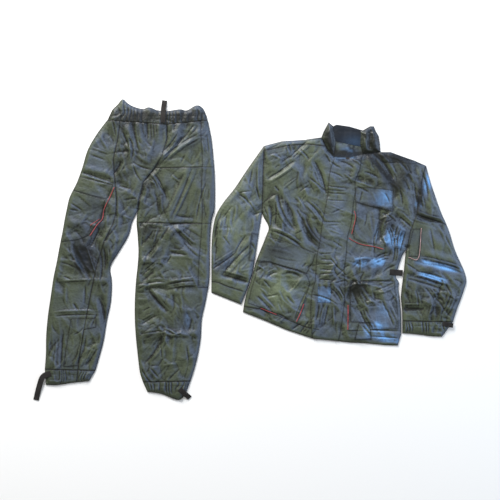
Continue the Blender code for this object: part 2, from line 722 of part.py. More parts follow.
def upper_hull(points):
    """The line drawn taut over points (along, height), from the first to the last."""
    highest = {}
    for reach, height in points:
        highest[round(reach, 2)] = max(height, highest.get(round(reach, 2), height))
    hull = []
    for q in sorted(highest.items()):
        while len(hull) > 1 and ((hull[-1][0] - hull[-2][0]) * (q[1] - hull[-2][1])
                                 >= (hull[-1][1] - hull[-2][1]) * (q[0] - hull[-2][0])):
            hull.pop()
        hull.append(q)
    return np.array(hull)


def strap(name, patch, line, width, garment, rest=GAP, thick=2.0):
    """A strip of webbing drawn over a patch, with its end down near the surface."""
    line = np.array(line, float)
    runs = np.diff(line, axis=0)
    lengths = np.linalg.norm(runs, axis=1)
    reach = np.concatenate([[0], np.cumsum(lengths)])
    heights = [(reach[-1], rest)]
    for q in cut(patch, ribbon(line, width + 4)).points:
        steps = np.clip(np.sum((q[:2] - line[:-1]) * runs, axis=1) / lengths, 0, lengths)
        near = line[:-1] + runs * (steps / lengths)[:, None]
        k = int(np.argmin(np.linalg.norm(near - q[:2], axis=1)))
        heights.append((reach[k] + steps[k], q[2] + STRAP_CLEAR))
    hull = upper_hull(heights)
    stations = sorted({round(v, 1) for v in [*hull[:, 0], *reach, 0.0]})
    stations = [v for i, v in enumerate(stations) if i == 0 or v - stations[i - 1] > 0.5]
    places = np.column_stack([np.interp(stations, reach, line[:, k]) for k in (0, 1)])
    heights = np.interp(stations, hull[:, 0], hull[:, 1])
    ahead = np.gradient(places, axis=0)
    ahead /= np.linalg.norm(ahead, axis=1)[:, None]
    across = np.column_stack([-ahead[:, 1], ahead[:, 0]]) * 0.5 * width
    points = np.concatenate([np.column_stack([places + s * across, heights + thick])
                             for s in (1, -1)])
    count = len(stations)
    faces = []
    for i in range(count - 1):
        a, b, c, d = i, i + 1, i + 1 + count, i + count
        faces += [(a, c, b), (a, d, c)]
    if np.cross(points[faces[0][1]] - points[faces[0][0]],
                points[faces[0][2]] - points[faces[0][0]])[2] < 0:
        faces = [(a, c, b) for a, b, c in faces]
    top = Patch(points, faces)
    return add(name, *closed(top, points[:, 2] - thick), "webbing", garment)


def gathered(seam, end, gathers, rims, folds):
    """A band of cloth drawn in by elastic, between a seam and its open end."""
    places = np.arange(gathers * STEPS_PER_GATHER + 1) / (gathers * STEPS_PER_GATHER)
    curve = smooth(end, 6)
    return ruled(along(seam, places), along(curve, places),
                 np.array([0, 0.5, 1.0]), rims, folds, gathers)


def inset(line, shift):
    """A line moved by half a gap, so that the next piece stays clear of it."""
    return [Point(q.x + shift[0] * GAP, q.y + shift[1] * GAP) for q in line]


def build_trousers(garment):
    rims = [
        edge(LEFT_LEG, "left"), edge(LEFT_LEG, "right", CROTCH_ROW),
        edge(RIGHT_LEG, "left", CROTCH_ROW), edge(RIGHT_LEG, "right"),
        smooth(WAIST_TOP, 4), [WAIST_SEAM[0], WAIST_TOP[0]], [WAIST_SEAM[-1], WAIST_TOP[-1]],
        [LEFT_HEM_SEAM[0], LEFT_HEM[0]], LEFT_HEM, [LEFT_HEM[-1], LEFT_HEM_SEAM[1]],
        [RIGHT_HEM_SEAM[0], RIGHT_HEM[0]], RIGHT_HEM, [RIGHT_HEM[-1], RIGHT_HEM_SEAM[1]],
    ]
    folds = TROUSER_FOLDS
    left_grid = panel(LEFT_LEG, crowded(9), rims, folds)
    right_grid = panel(RIGHT_LEG, crowded(9), rims, folds)
    below_waist = side_of([Point(-600, 328)] + WAIST_SEAM + [Point(600, 330)], DOWN, 0)
    left_leg = cut(cut(left_grid, below_waist), side_of(CENTRE_SEAM, LEFT))
    right_leg = cut(cut(right_grid, below_waist), side_of(CENTRE_SEAM, RIGHT))
    back_of("back_left_leg", left_leg, "nylon", garment)
    back_of("back_right_leg", right_leg, "nylon", garment)
    wall("front_left_side", cut(left_leg, side_of(LEFT_PANEL_SEAM, LEFT)), "nylon_blue", garment)
    wall("front_left_leg", cut(left_leg, side_of(LEFT_PANEL_SEAM, RIGHT)), "nylon", garment)
    below_thigh = cut(right_leg, side_of(THIGH_SEAM, DOWN))
    wall("front_right_upper", cut(right_leg, side_of(THIGH_SEAM, UP)), "nylon", garment)
    wall("front_right_knee", cut(below_thigh, side_of(KNEE_SEAM, UP)), "nylon", garment)
    wall("front_right_lower", cut(below_thigh, side_of(KNEE_SEAM, DOWN)), "nylon", garment)

    waist = gathered(inset(WAIST_SEAM, UP), WAIST_TOP, WAIST_GATHERS, rims, folds)
    wall("waistband_front", waist, "nylon", garment)
    back_of("waistband_back", waist, "nylon", garment)
    left_hem = gathered(inset(LEFT_HEM_SEAM, DOWN), LEFT_HEM, LEFT_HEM_GATHERS, rims, folds)
    wall("hem_left", left_hem, "nylon", garment)
    back_of("hem_left_back", left_hem, "nylon", garment)
    right_hem = gathered(inset(RIGHT_HEM_SEAM, DOWN), RIGHT_HEM, RIGHT_HEM_GATHERS, rims, folds)
    wall("hem_right", right_hem, "nylon", garment)
    back_of("hem_right_back", right_hem, "nylon", garment)

    on_top("cargo_pocket", cut(left_leg, CARGO_POCKET), "nylon_blue", garment)
    on_top("cargo_flap", cut(left_leg, CARGO_FLAP), "nylon", garment)
    on_top("cargo_piping", cut(left_leg, ribbon(CARGO_PIPING, 4)), "piping", garment, 2.5)
    on_top("cargo_piping_fork", cut(left_leg, ribbon(CARGO_PIPING_FORK, 3)), "piping", garment,
           1.5, 1)
    on_top("side_placket", cut(right_leg, SIDE_PLACKET), "nylon", garment)
    on_top("leg_gusset", cut(left_leg, LEG_GUSSET), "nylon", garment)
    strap("hanging_loop", waist, HANGING_LOOP, 18, garment)
    strap("hem_strap_left", left_hem, HEM_STRAP, 20, garment)
    strap("hem_tab_right", right_hem, RIGHT_HEM_TAB, 18, garment)


def build_jacket(garment):
    rims = [
        edge(LEFT_SLEEVE, "left"), edge(LEFT_SLEEVE, "right", ARMPIT_ROW),
        edge(BODY, "left", ARMPIT_ROW), edge(BODY, "right", ARMPIT_ROW + 1),
        edge(RIGHT_SLEEVE, "left", SLEEVE_FREE_ROW), edge(RIGHT_SLEEVE, "right"),
        FRONT_TOP, BODY_HEM, [LEFT_SLEEVE[-1][:2], LEFT_SLEEVE[-1][2:]],
        [RIGHT_CUFF_SEAM[0], RIGHT_CUFF_END[0]], RIGHT_CUFF_END,
        [RIGHT_CUFF_END[-1], RIGHT_CUFF_SEAM[1]],
    ]
    folds = JACKET_FOLDS
    body_grid = panel(BODY, crowded(18), rims, folds)
    left_grid = panel(LEFT_SLEEVE, crowded(7), rims, folds)
    right_grid = panel(RIGHT_SLEEVE, crowded(7), rims, folds)

    body = cut(body_grid, side_of(LEFT_ARMHOLE, RIGHT))
    body = cut(body, side_of(RIGHT_ARMHOLE, LEFT))
    body = cut(body, side_of([Point(-400, -200)] + BODY_HEM + [Point(400, -302)], UP, 0))
    beyond = [Point(-400, 374)], [Point(400, 280)]
    back_top = beyond[0] + FRONT_TOP[:5] + BACK_NECK[1:] + FRONT_TOP[11:] + beyond[1]
    back = cut(body, side_of(back_top, DOWN, 0))
    body = cut(body, side_of(beyond[0] + FRONT_TOP + beyond[1], DOWN, 0))
    back_of("back_body", back, "nylon", garment)

    left_front = cut(body, side_of(ZIP_LINE, LEFT, ZIP_HALF))
    right_front = cut(body, side_of(ZIP_LINE, RIGHT, ZIP_HALF))
    zip_tapes = cut(cut(body, side_of(ZIP_LINE, LEFT, GAP - ZIP_HALF)),
                    side_of(ZIP_LINE, RIGHT, GAP - ZIP_HALF))
    wall("front_zip", zip_tapes, "webbing", garment)
    wall("shoulder_left", cut(left_front, side_of(LEFT_SHOULDER_SEAM, UP)), "nylon", garment)
    left_front = cut(left_front, side_of(LEFT_SHOULDER_SEAM, DOWN))
    wall("shoulder_right", cut(right_front, side_of(RIGHT_SHOULDER_SEAM, UP)), "nylon", garment)
    right_front = cut(right_front, side_of(RIGHT_SHOULDER_SEAM, DOWN))
    wall("hem_band_left", cut(left_front, side_of(LEFT_HEM_BAND_SEAM, DOWN)), "nylon", garment)
    wall("front_left", cut(left_front, side_of(LEFT_HEM_BAND_SEAM, UP)), "nylon", garment)
    wall("hem_band_right", cut(right_front, side_of(RIGHT_HEM_BAND_SEAM, DOWN)), "nylon_blue",
         garment)
    wall("front_right", cut(right_front, side_of(RIGHT_HEM_BAND_SEAM, UP)), "nylon_blue", garment)

    flap = cut(cut(body, side_of(STORM_FLAP_LEFT, RIGHT, 0)), side_of(STORM_FLAP_RIGHT, LEFT, 0))
    on_top("storm_flap", flap, "nylon", garment)
    on_top("flap_square", cut(flap, FLAP_SQUARE), "nylon_blue", garment, CLOTH, 1)
    on_top("chest_flap", cut(body, CHEST_FLAP), "nylon_blue", garment)
    on_top("chest_pocket", cut(body, CHEST_POCKET), "nylon_blue", garment)
    on_top("chest_piping_upright", cut(body, ribbon(CHEST_PIPING_UPRIGHT, 3.5)), "piping",
           garment, 2.5)
    on_top("chest_piping_level", cut(body, ribbon(CHEST_PIPING_LEVEL, 3.5)), "piping",
           garment, 2.5)
    on_top("waist_belt", cut(body, WAIST_BELT), "nylon", garment)
    on_top("pocket_left", cut(body, POCKET_LEFT), "nylon", garment)
    on_top("pocket_left_piping", cut(body, ribbon(POCKET_LEFT_PIPING, 5)), "piping", garment, 2.5)
    on_top("pocket_left_low_piping", cut(body, ribbon(POCKET_LEFT_LOW_PIPING, 3)), "piping",
           garment, 2)
    on_top("pocket_right", cut(body, POCKET_RIGHT), "nylon_blue", garment)
    on_top("pocket_right_piping", cut(body, ribbon(POCKET_RIGHT_PIPING, 6)), "piping", garment,
           2.5)
    on_top("hem_tab", cut(body, HEM_TAB), "nylon_blue", garment, 2)
    strap("waist_strap", body, WAIST_STRAP, 21, garment, 2.0)

    left_sleeve = cut(left_grid, side_of(LEFT_ARMHOLE, LEFT))
    right_sleeve = cut(right_grid, side_of(RIGHT_ARMHOLE, RIGHT))
    back_of("back_left_sleeve", left_sleeve, "nylon", garment)
    back_of("back_right_sleeve", right_sleeve, "nylon", garment)
    wall("sleeve_left", cut(left_sleeve, side_of(LEFT_CUFF_SEAM, UP)), "nylon", garment)
    wall("cuff_left", cut(left_sleeve, side_of(LEFT_CUFF_SEAM, DOWN)), "nylon", garment)
    wall("sleeve_right_upper", cut(right_sleeve, side_of(SLEEVE_SEAM, UP)), "nylon_blue", garment)
    wall("sleeve_right_lower", cut(right_sleeve, side_of(SLEEVE_SEAM, DOWN)), "nylon", garment)
    on_top("sleeve_patch", cut(right_sleeve, SLEEVE_PATCH), "nylon", garment)
    on_top("sleeve_piping", cut(right_sleeve, ribbon(SLEEVE_PIPING, 3)), "pale_piping", garment,
           2)
    cuff = gathered(inset(RIGHT_CUFF_SEAM, DOWN), RIGHT_CUFF_END, CUFF_GATHERS, rims, folds)
    wall("cuff_right", cuff, "nylon", garment)
    back_of("cuff_right_back", cuff, "nylon", garment)
    strap("cuff_tab_right", cuff, CUFF_TAB, 16, garment, 6.0)

    neck = [Point(q.x, q.y + GAP) for q in BACK_NECK]
    flat_back("collar_back", COLLAR_BACK_TOP[1:-1][::-1] + neck, "lining", garment)
    for name, outline in (("collar_left", COLLAR_LEFT), ("collar_right", COLLAR_RIGHT)):
        shape = np.array(outline, float)
        low, high = shape.min(axis=0) - 5, shape.max(axis=0) + 5
        rows = np.linspace(high[1], low[1], 10)
        left = [(low[0], y) for y in rows]
        right = [(high[0], y) for y in rows]
        grid = ruled(left, right, np.arange(8) / 7, [outline + outline[:1]], COLLAR_FOLDS)
        wall(name, cut(grid, outline), "nylon", garment)


def build():
    clear_scene()
    for name, place, make in (("trousers", TROUSERS_AT, build_trousers),
                              ("jacket", JACKET_AT, build_jacket)):
        garment = bpy.data.objects.new(name, None)
        garment.location = place
        bpy.context.collection.objects.link(garment)
        make(garment)


build()
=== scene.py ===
from collections import namedtuple
import math

import bpy
import numpy as np
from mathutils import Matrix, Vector
from mathutils.geometry import delaunay_2d_cdt
from mathutils.kdtree import KDTree


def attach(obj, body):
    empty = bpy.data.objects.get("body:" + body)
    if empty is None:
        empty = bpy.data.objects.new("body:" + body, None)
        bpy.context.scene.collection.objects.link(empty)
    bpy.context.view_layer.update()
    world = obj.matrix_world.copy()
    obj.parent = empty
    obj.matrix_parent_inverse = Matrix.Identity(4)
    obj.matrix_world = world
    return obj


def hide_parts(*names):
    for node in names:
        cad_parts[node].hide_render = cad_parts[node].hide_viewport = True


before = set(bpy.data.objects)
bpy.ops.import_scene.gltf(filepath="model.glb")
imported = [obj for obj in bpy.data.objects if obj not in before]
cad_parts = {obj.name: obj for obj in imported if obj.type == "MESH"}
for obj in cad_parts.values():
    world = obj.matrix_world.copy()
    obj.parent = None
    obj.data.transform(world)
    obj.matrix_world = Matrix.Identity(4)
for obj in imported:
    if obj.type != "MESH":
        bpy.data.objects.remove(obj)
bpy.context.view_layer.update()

# The tables are in millimetres, in each garment's own frame, seen from above: the trousers'
# starts at the crotch, the jacket's at the front edge at waist height. X runs to the right
# and Y towards the collar or the waist. Creases and patches of shade are in squares of the
# photo, X to the right and Y down, each square 3.6 mm.
SQUARE = 3.6
TROUSERS_AT = (-403.6, 151.2)
JACKET_AT = (305.6, 0.0)

SPACING = 3.2  # of the points of the visible cloth
BACK_SPACING = 9.0  # of the points of the cloth underneath
CLOTH = 1.3  # wall of one layer of cloth
GAP = 0.3
BACK_TOP = 1.5
UNDER = BACK_TOP + GAP
RIM = 3.3
EDGE_RISE = 4.5
EDGE_WIDTH = 14.0
SWELL = 3.0
SWELL_WIDTH = 70.0

Crease = namedtuple("Crease", "x1 y1 x2 y2 bend half_width height")
Grain = namedtuple("Grain", "x y reach turn spread strength")
Shade = namedtuple("Shade", "x y half_length half_width turn blue light")

LEFT, RIGHT, UP, DOWN = (-1, 0), (1, 0), (0, 1), (0, -1)
FAR = 2000.0

Section = namedtuple("Section", "left_x left_y right_x right_y")
Fold = namedtuple("Fold", "from_x from_y to_x to_y half_width height")
Point = namedtuple("Point", "x y")

# Trousers: sections across each leg, from the waist seam down to the hem seam. Above the
# crotch their inner ends reach past the centre seam, which trims them.
LEFT_LEG = [
    Section(-104, 324, 115, 310),
    Section(-145, 270, 115, 243),
    Section(-180, 210, 97, 183),
    Section(-200, 145, 68, 133),
    Section(-220, 90, 34, 88),
    Section(-245, 40, 16, 30),
    Section(-256, -5, 2, -5),
    Section(-264, -45, -20, -50),
    Section(-271, -85, -34, -100),
    Section(-283, -145, -68, -158),
    Section(-292, -195, -99, -212),
    Section(-304, -252, -94, -263),
    Section(-314, -320, -97, -335),
    Section(-324, -390, -111, -403),
    Section(-330, -460, -124, -480),
    Section(-331, -525, -140, -540),
    Section(-335, -580, -153, -585),
]
RIGHT_LEG = [
    Section(95, 310, 249, 325),
    Section(95, 247, 264, 252),
    Section(73, 187, 270, 195),
    Section(42, 136, 275, 140),
    Section(7, 92, 277, 86),
    Section(-6, 30, 277, 30),
    Section(-2, -5, 275, -10),
    Section(-5, -50, 265, -45),
    Section(-1, -100, 260, -95),
    Section(2, -158, 258, -151),
    Section(-1, -209, 258, -209),
    Section(-7, -265, 256, -263),
    Section(-11, -335, 245, -331),
    Section(-11, -403, 230, -400),
    Section(-7, -468, 226, -468),
    Section(0, -535, 215, -533),
    Section(7, -590, 200, -590),
    Section(18, -626, 189, -623),
]
CROTCH_ROW = 6  # the first section below which the legs part
WAIST_SEAM = [Point(-110, 315), Point(105, 300), Point(250, 315)]
WAIST_TOP = [
    Point(-92, 353), Point(-72, 373), Point(-55, 391), Point(-36, 376), Point(-14, 364),
    Point(18, 356), Point(40, 362), Point(72, 351), Point(108, 349), Point(151, 355),
    Point(176, 351), Point(211, 369), Point(234, 358), Point(248, 328),
]
LEFT_HEM_SEAM = [Point(-335, -580), Point(-153, -585)]
LEFT_HEM = [Point(-331, -636), Point(-290, -637), Point(-235, -629), Point(-176, -623)]
RIGHT_HEM_SEAM = [Point(18, -626), Point(189, -623)]
RIGHT_HEM = [Point(34, -661), Point(84, -669), Point(146, -691), Point(170, -672)]

# Trousers: seams
CENTRE_SEAM = [
    Point(105, 330), Point(105, 245), Point(86, 185), Point(55, 135), Point(20, 90),
    Point(5, 30), Point(0, -7), Point(-12, -60), Point(-40, -200), Point(-60, -300),
    Point(-60, -800),
]
LEFT_PANEL_SEAM = [
    Point(-60, 330), Point(-72, 245), Point(-88, 173), Point(-83, 108), Point(-76, 25),
    Point(-79, -25), Point(-92, -65), Point(-120, -121), Point(-144, -194),
    Point(-166, -295), Point(-187, -403), Point(-206, -511), Point(-222, -640),
]
THIGH_SEAM = [Point(-60, 146), Point(79, 143), Point(230, 147), Point(320, 148)]
KNEE_SEAM = [Point(-60, -51), Point(0, -53), Point(110, -55), Point(223, -56), Point(320, -56)]

# Trousers: what lies on the panels
CARGO_FLAP = [Point(-260, 128), Point(-208, 111), Point(-90, 82), Point(-112, 31), Point(-260, 72)]
CARGO_POCKET = [
    Point(-290, 75), Point(-230, 61), Point(-118, 27), Point(-122, 12), Point(-129, -14),
    Point(-134, -40), Point(-153, -64), Point(-176, -98), Point(-215, -114), Point(-300, -124),
]
CARGO_PIPING = [
    Point(-84, 74), Point(-104, 30), Point(-114, 10), Point(-122, -12), Point(-127, -40),
    Point(-146, -62), Point(-171, -100),
]
CARGO_PIPING_FORK = [Point(-137, -40), Point(-170, -62)]
SIDE_PLACKET = [
    Point(230, 340), Point(228, 266), Point(234, 158), Point(229, 68), Point(234, -7),
    Point(229, -97), Point(221, -187), Point(217, -284), Point(320, -290), Point(320, 340),
]
LEG_GUSSET = [
    Point(-238, -400), Point(-151, -398), Point(-151, -428), Point(-194, -436),
    Point(-216, -566), Point(-266, -570), Point(-243, -428),
]
HANGING_LOOP = [Point(91, 306), Point(92, 350), Point(96, 387)]
HEM_STRAP = [Point(-312, -594), Point(-340, -606), Point(-354, -640), Point(-367, -691)]
RIGHT_HEM_TAB = [Point(150, -650), Point(187, -684)]

# Trousers: the largest folds, ridges with a height above 0 and troughs below it
TROUSER_FOLDS = [
    Fold(-60, 290, -40, 223, 11, -3.5),
    Fold(-40, 299, -18, 173, 12, 3.5),
    Fold(-18, 302, -7, 252, 11, -3.5),
    Fold(7, 299, 11, 215, 12, 3.5),
    Fold(32, 302, 32, 255, 11, -3.5),
    Fold(72, 299, 76, 238, 12, 3.0),
    Fold(50, 302, 54, 245, 10, -3.0),
    Fold(151, 302, 137, 245, 12, 3.0),
    Fold(200, 306, 180, 255, 12, 3.0),
    Fold(150, 270, 79, 169, 14, 6.0),
    Fold(187, 266, 97, 198, 11, -4.0),
    Fold(228, 276, 92, 180, 14, 6.0),
    Fold(79, 160, 12, 70, 11, -3.5),
    Fold(65, 119, 108, 29, 13, -3.5),
    Fold(191, 142, 140, 22, 17, 5.0),
    Fold(140, 22, 112, -30, 15, 4.0),
    Fold(215, 60, 195, -40, 14, -3.5),
    Fold(100, -62, 215, -62, 13, -4.0),
    Fold(139, -84, 208, -151, 14, -4.5),
    Fold(120, -90, 185, -168, 15, 4.5),
    Fold(76, -122, 20, -178, 13, -4.5),
    Fold(90, -105, 48, -195, 14, 4.0),
    Fold(5, -280, 96, -266, 12, 4.5),
    Fold(96, -266, 212, -262, 12, 4.5),
    Fold(20, -295, 205, -288, 12, -3.5),
    Fold(34, -300, 104, -366, 12, -4.5),
    Fold(60, -296, 125, -355, 13, 4.0),
    Fold(22, -412, 68, -388, 12, -4.0),
    Fold(24, -450, 110, -440, 13, 4.5),
    Fold(105, -446, 205, -452, 13, 4.5),
    Fold(90, -478, 24, -555, 15, -5.0),
    Fold(118, -500, 122, -580, 14, 3.0),
    Fold(26, -585, 70, -628, 11, -3.5),
    Fold(-208, 148, -95, 120, 13, 4.0),
    Fold(-208, 128, -92, 100, 10, -3.5),
    Fold(-88, 118, -58, 172, 11, -4.5),
    Fold(-74, 92, -22, 68, 11, -3.5),
    Fold(-60, 125, -5, 150, 14, 3.5),
    Fold(-118, -58, -168, -138, 12, -4.5),
    Fold(-88, -62, -128, -142, 13, 4.5),
    Fold(-250, -45, -180, -75, 14, 4.0),
    Fold(-245, -95, -205, -60, 12, -3.0),
    Fold(-234, -139, -160, -245, 25, -4.5),
    Fold(-296, -252, -110, -262, 13, 2.8),
    Fold(-120, -170, -104, -240, 13, -4.0),
    Fold(-292, -372, -140, -384, 14, 1.6),
    Fold(-133, -318, -118, -428, 12, -4.0),
    Fold(-300, -470, -296, -570, 16, -3.0),
    Fold(-160, -470, -182, -570, 13, -3.5),
]

# Jacket: sections across the body, from above the shoulders to below the hem. The outline
# and the armholes trim them.
BODY = [
    Section(-272, 460, 350, 350),
    Section(-270, 374, 342, 292),
    Section(-272, 306, 332, 237),
    Section(-274, 216, 316, 152),
    Section(-263, 133, 286, 62),
    Section(-239, 84, 262, 10),
    Section(-248, 50, 243, -18),
    Section(-271, -7, 229, -58),
    Section(-286, -47, 221, -85),
    Section(-296, -88, 219, -99),
    Section(-304, -115, 229, -115),
    Section(-317, -151, 228, -140),
    Section(-326, -187, 232, -175),
    Section(-331, -223, 237, -230),
    Section(-334, -265, 238, -300),
    Section(-337, -305, 240, -360),
]
ARMPIT_ROW = 4
LEFT_SLEEVE = [
    Section(-256, 374, -240, 370),
    Section(-317, 288, -246, 303),
    Section(-360, 223, -247, 246),
    Section(-400, 173, -249, 186),
    Section(-427, 128, -262, 134),
    Section(-439, 79, -272, 76),
    Section(-444, 22, -281, 14),
    Section(-445, -36, -290, -43),
    Section(-445, -86, -299, -94),
    Section(-445, -122, -315, -140),
    Section(-445, -153, -338, -196),
]
RIGHT_SLEEVE = [
    Section(310, 303, 327, 304),
    Section(300, 262, 339, 257),
    Section(280, 200, 358, 200),
    Section(276, 138, 380, 138),
    Section(262, 70, 407, 76),
    Section(256, 10, 428, 8),
    Section(252, -29, 446, -35),
    Section(248, -72, 464, -75),
    Section(243, -112, 472, -112),
    Section(239, -144, 463, -146),
    Section(237, -175, 451, -180),
    Section(241, -216, 437, -217),
    Section(242, -255, 424, -259),
]
SLEEVE_FREE_ROW = 5
RIGHT_CUFF_SEAM = [Point(242, -255), Point(424, -259)]
RIGHT_CUFF_END = [Point(242, -299), Point(300, -304), Point(345, -310), Point(384, -312)]

# Jacket: outline where the sections don't give it
FRONT_TOP = [
    Point(-256, 374), Point(-191, 391), Point(-108, 396), Point(-86, 400), Point(-49, 405),
    Point(-27, 359), Point(-5, 336), Point(47, 333), Point(97, 344), Point(133, 347),
    Point(164, 352), Point(200, 352), Point(252, 333), Point(284, 322), Point(327, 303),
]
BACK_NECK = [Point(-49, 405), Point(0, 392), Point(60, 378), Point(110, 368), Point(164, 352)]
BODY_HEM = [
    Point(-331, -223), Point(-255, -253), Point(-178, -286), Point(-119, -306),
    Point(-75, -320), Point(-18, -325), Point(54, -333), Point(106, -335), Point(180, -342),
    Point(225, -344), Point(238, -302),
]
COLLAR_BACK_TOP = [
    Point(-49, 405), Point(-40, 428), Point(-23, 459), Point(-6, 445), Point(5, 451),
    Point(53, 444), Point(83, 435), Point(100, 430), Point(126, 445), Point(139, 445),
    Point(147, 426), Point(156, 412), Point(160, 389), Point(162, 362), Point(164, 352),
]
COLLAR_LEFT = [
    Point(-48, 403), Point(-39, 427), Point(-23, 457), Point(-7, 444), Point(-1, 418),
    Point(2, 385), Point(0, 360), Point(-4, 340), Point(-26, 361),
]
COLLAR_RIGHT = [
    Point(92, 427), Point(100, 429), Point(126, 444), Point(138, 444), Point(146, 426),
    Point(155, 412), Point(159, 389), Point(161, 362), Point(163, 354), Point(133, 350),
    Point(99, 347), Point(90, 382),
]

# Jacket: seams
LEFT_ARMHOLE = [
    Point(-254, 800), Point(-256, 374), Point(-263, 133), Point(-262, 50), Point(-278, -7),
    Point(-288, -47), Point(-297, -88), Point(-307, -115), Point(-318, -151),
    Point(-333, -196), Point(-345, -260), Point(-345, -800),
]
RIGHT_ARMHOLE = [
    Point(330, 800), Point(327, 303), Point(313, 265), Point(292, 130), Point(270, 65),
    Point(259, 7), Point(247, -30), Point(239, -70), Point(236, -112), Point(233, -144),
    Point(234, -175), Point(239, -225), Point(240, -300), Point(240, -800),
]
ZIP_LINE = [
    Point(48, 400), Point(46, 334), Point(22, 200), Point(5, 100), Point(-5, 0),
    Point(-18, -100), Point(-28, -200), Point(-38, -360),
]
ZIP_HALF = 6.0  # half the width of the zip's tapes that shows between the fronts
LEFT_SHOULDER_SEAM = [
    Point(-400, 350), Point(-257, 356), Point(-162, 376), Point(-97, 380), Point(-36, 374),
    Point(100, 440),
]
RIGHT_SHOULDER_SEAM = [
    Point(-60, 430), Point(136, 350), Point(150, 336), Point(172, 315), Point(225, 314),
    Point(400, 304),
]
LEFT_HEM_BAND_SEAM = [
    Point(-380, -196), Point(-328, -203), Point(-268, -213), Point(-209, -234),
    Point(-151, -259), Point(-108, -277), Point(-60, -286), Point(100, -296),
]
RIGHT_HEM_BAND_SEAM = [Point(-80, -291), Point(50, -290), Point(129, -288), Point(400, -296)]
LEFT_CUFF_SEAM = [
    Point(-480, -110), Point(-446, -113), Point(-418, -118), Point(-388, -131),
    Point(-335, -147), Point(-200, -165),
]
SLEEVE_SEAM = [Point(200, 140), Point(293, 127), Point(351, 108), Point(540, 45)]

# Jacket: what lies on the panels
STORM_FLAP_LEFT = [
    Point(-2, 326), Point(-16, 290), Point(-22, 252), Point(-25, 198), Point(-34, 155),
    Point(-45, 101), Point(-54, 29), Point(-65, -22), Point(-70, -108), Point(-83, -155),
    Point(-88, -209), Point(-86, -263), Point(-77, -350),
]
STORM_FLAP_RIGHT = [
    Point(95, 335), Point(87, 290), Point(70, 248), Point(71, 210), Point(65, 169),
    Point(61, 133), Point(55, 86), Point(43, 47), Point(38, -22), Point(31, -72),
    Point(34, -137), Point(31, -194), Point(22, -270), Point(7, -350),
]
FLAP_SQUARE = [Point(-62, -130), Point(-15, -132), Point(-17, -190), Point(-64, -188)]
CHEST_FLAP = [
    Point(74, 223), Point(121, 223), Point(170, 218), Point(207, 213), Point(205, 139),
    Point(164, 149), Point(117, 160), Point(74, 174),
]
CHEST_POCKET = [
    Point(75, 170), Point(117, 157), Point(157, 147), Point(156, 80), Point(146, 21),
    Point(97, 29), Point(69, 42), Point(65, 60), Point(71, 82), Point(79, 118),
    Point(75, 142),
]
CHEST_PIPING_UPRIGHT = [Point(68, 140), Point(73, 118), Point(65, 82), Point(59, 58)]
CHEST_PIPING_LEVEL = [Point(50, 43), Point(64, 33), Point(95, 20), Point(140, 12), Point(172, 3)]
WAIST_BELT = [
    Point(-300, 60), Point(-246, 49), Point(-181, 30), Point(-119, 7), Point(-72, -12),
    Point(-80, -40), Point(-105, -85), Point(-135, -70), Point(-185, -57), Point(-235, -41),
    Point(-310, -38),
]
POCKET_LEFT = [
    Point(-274, -46), Point(-234, -45), Point(-185, -61), Point(-135, -74), Point(-104, -91),
    Point(-92, -120), Point(-108, -172), Point(-118, -196), Point(-146, -254),
    Point(-208, -229), Point(-264, -207), Point(-312, -190), Point(-300, -140),
    Point(-284, -90),
]
POCKET_LEFT_PIPING = [Point(-113, -194), Point(-122, -220), Point(-139, -257)]
POCKET_LEFT_LOW_PIPING = [Point(-268, -209), Point(-211, -232)]
POCKET_RIGHT = [
    Point(54, -115), Point(144, -117), Point(187, -110), Point(212, -113), Point(213, -140),
    Point(218, -175), Point(224, -230), Point(226, -283), Point(134, -284), Point(126, -260),
    Point(56, -258),
]
POCKET_RIGHT_PIPING = [Point(46, -198), Point(46, -240), Point(45, -286)]
HEM_TAB = [Point(86, -264), Point(121, -264), Point(128, -318), Point(72, -322)]
SLEEVE_PATCH = [Point(281, 74), Point(306, 74), Point(296, -23), Point(266, -22), Point(268, 20)]
SLEEVE_PIPING = [Point(309, 78), Point(299, -28), Point(264, -27)]
WAIST_STRAP = [Point(196, -79), Point(243, -83)]
CUFF_TAB = [Point(386, -264), Point(424, -272)]

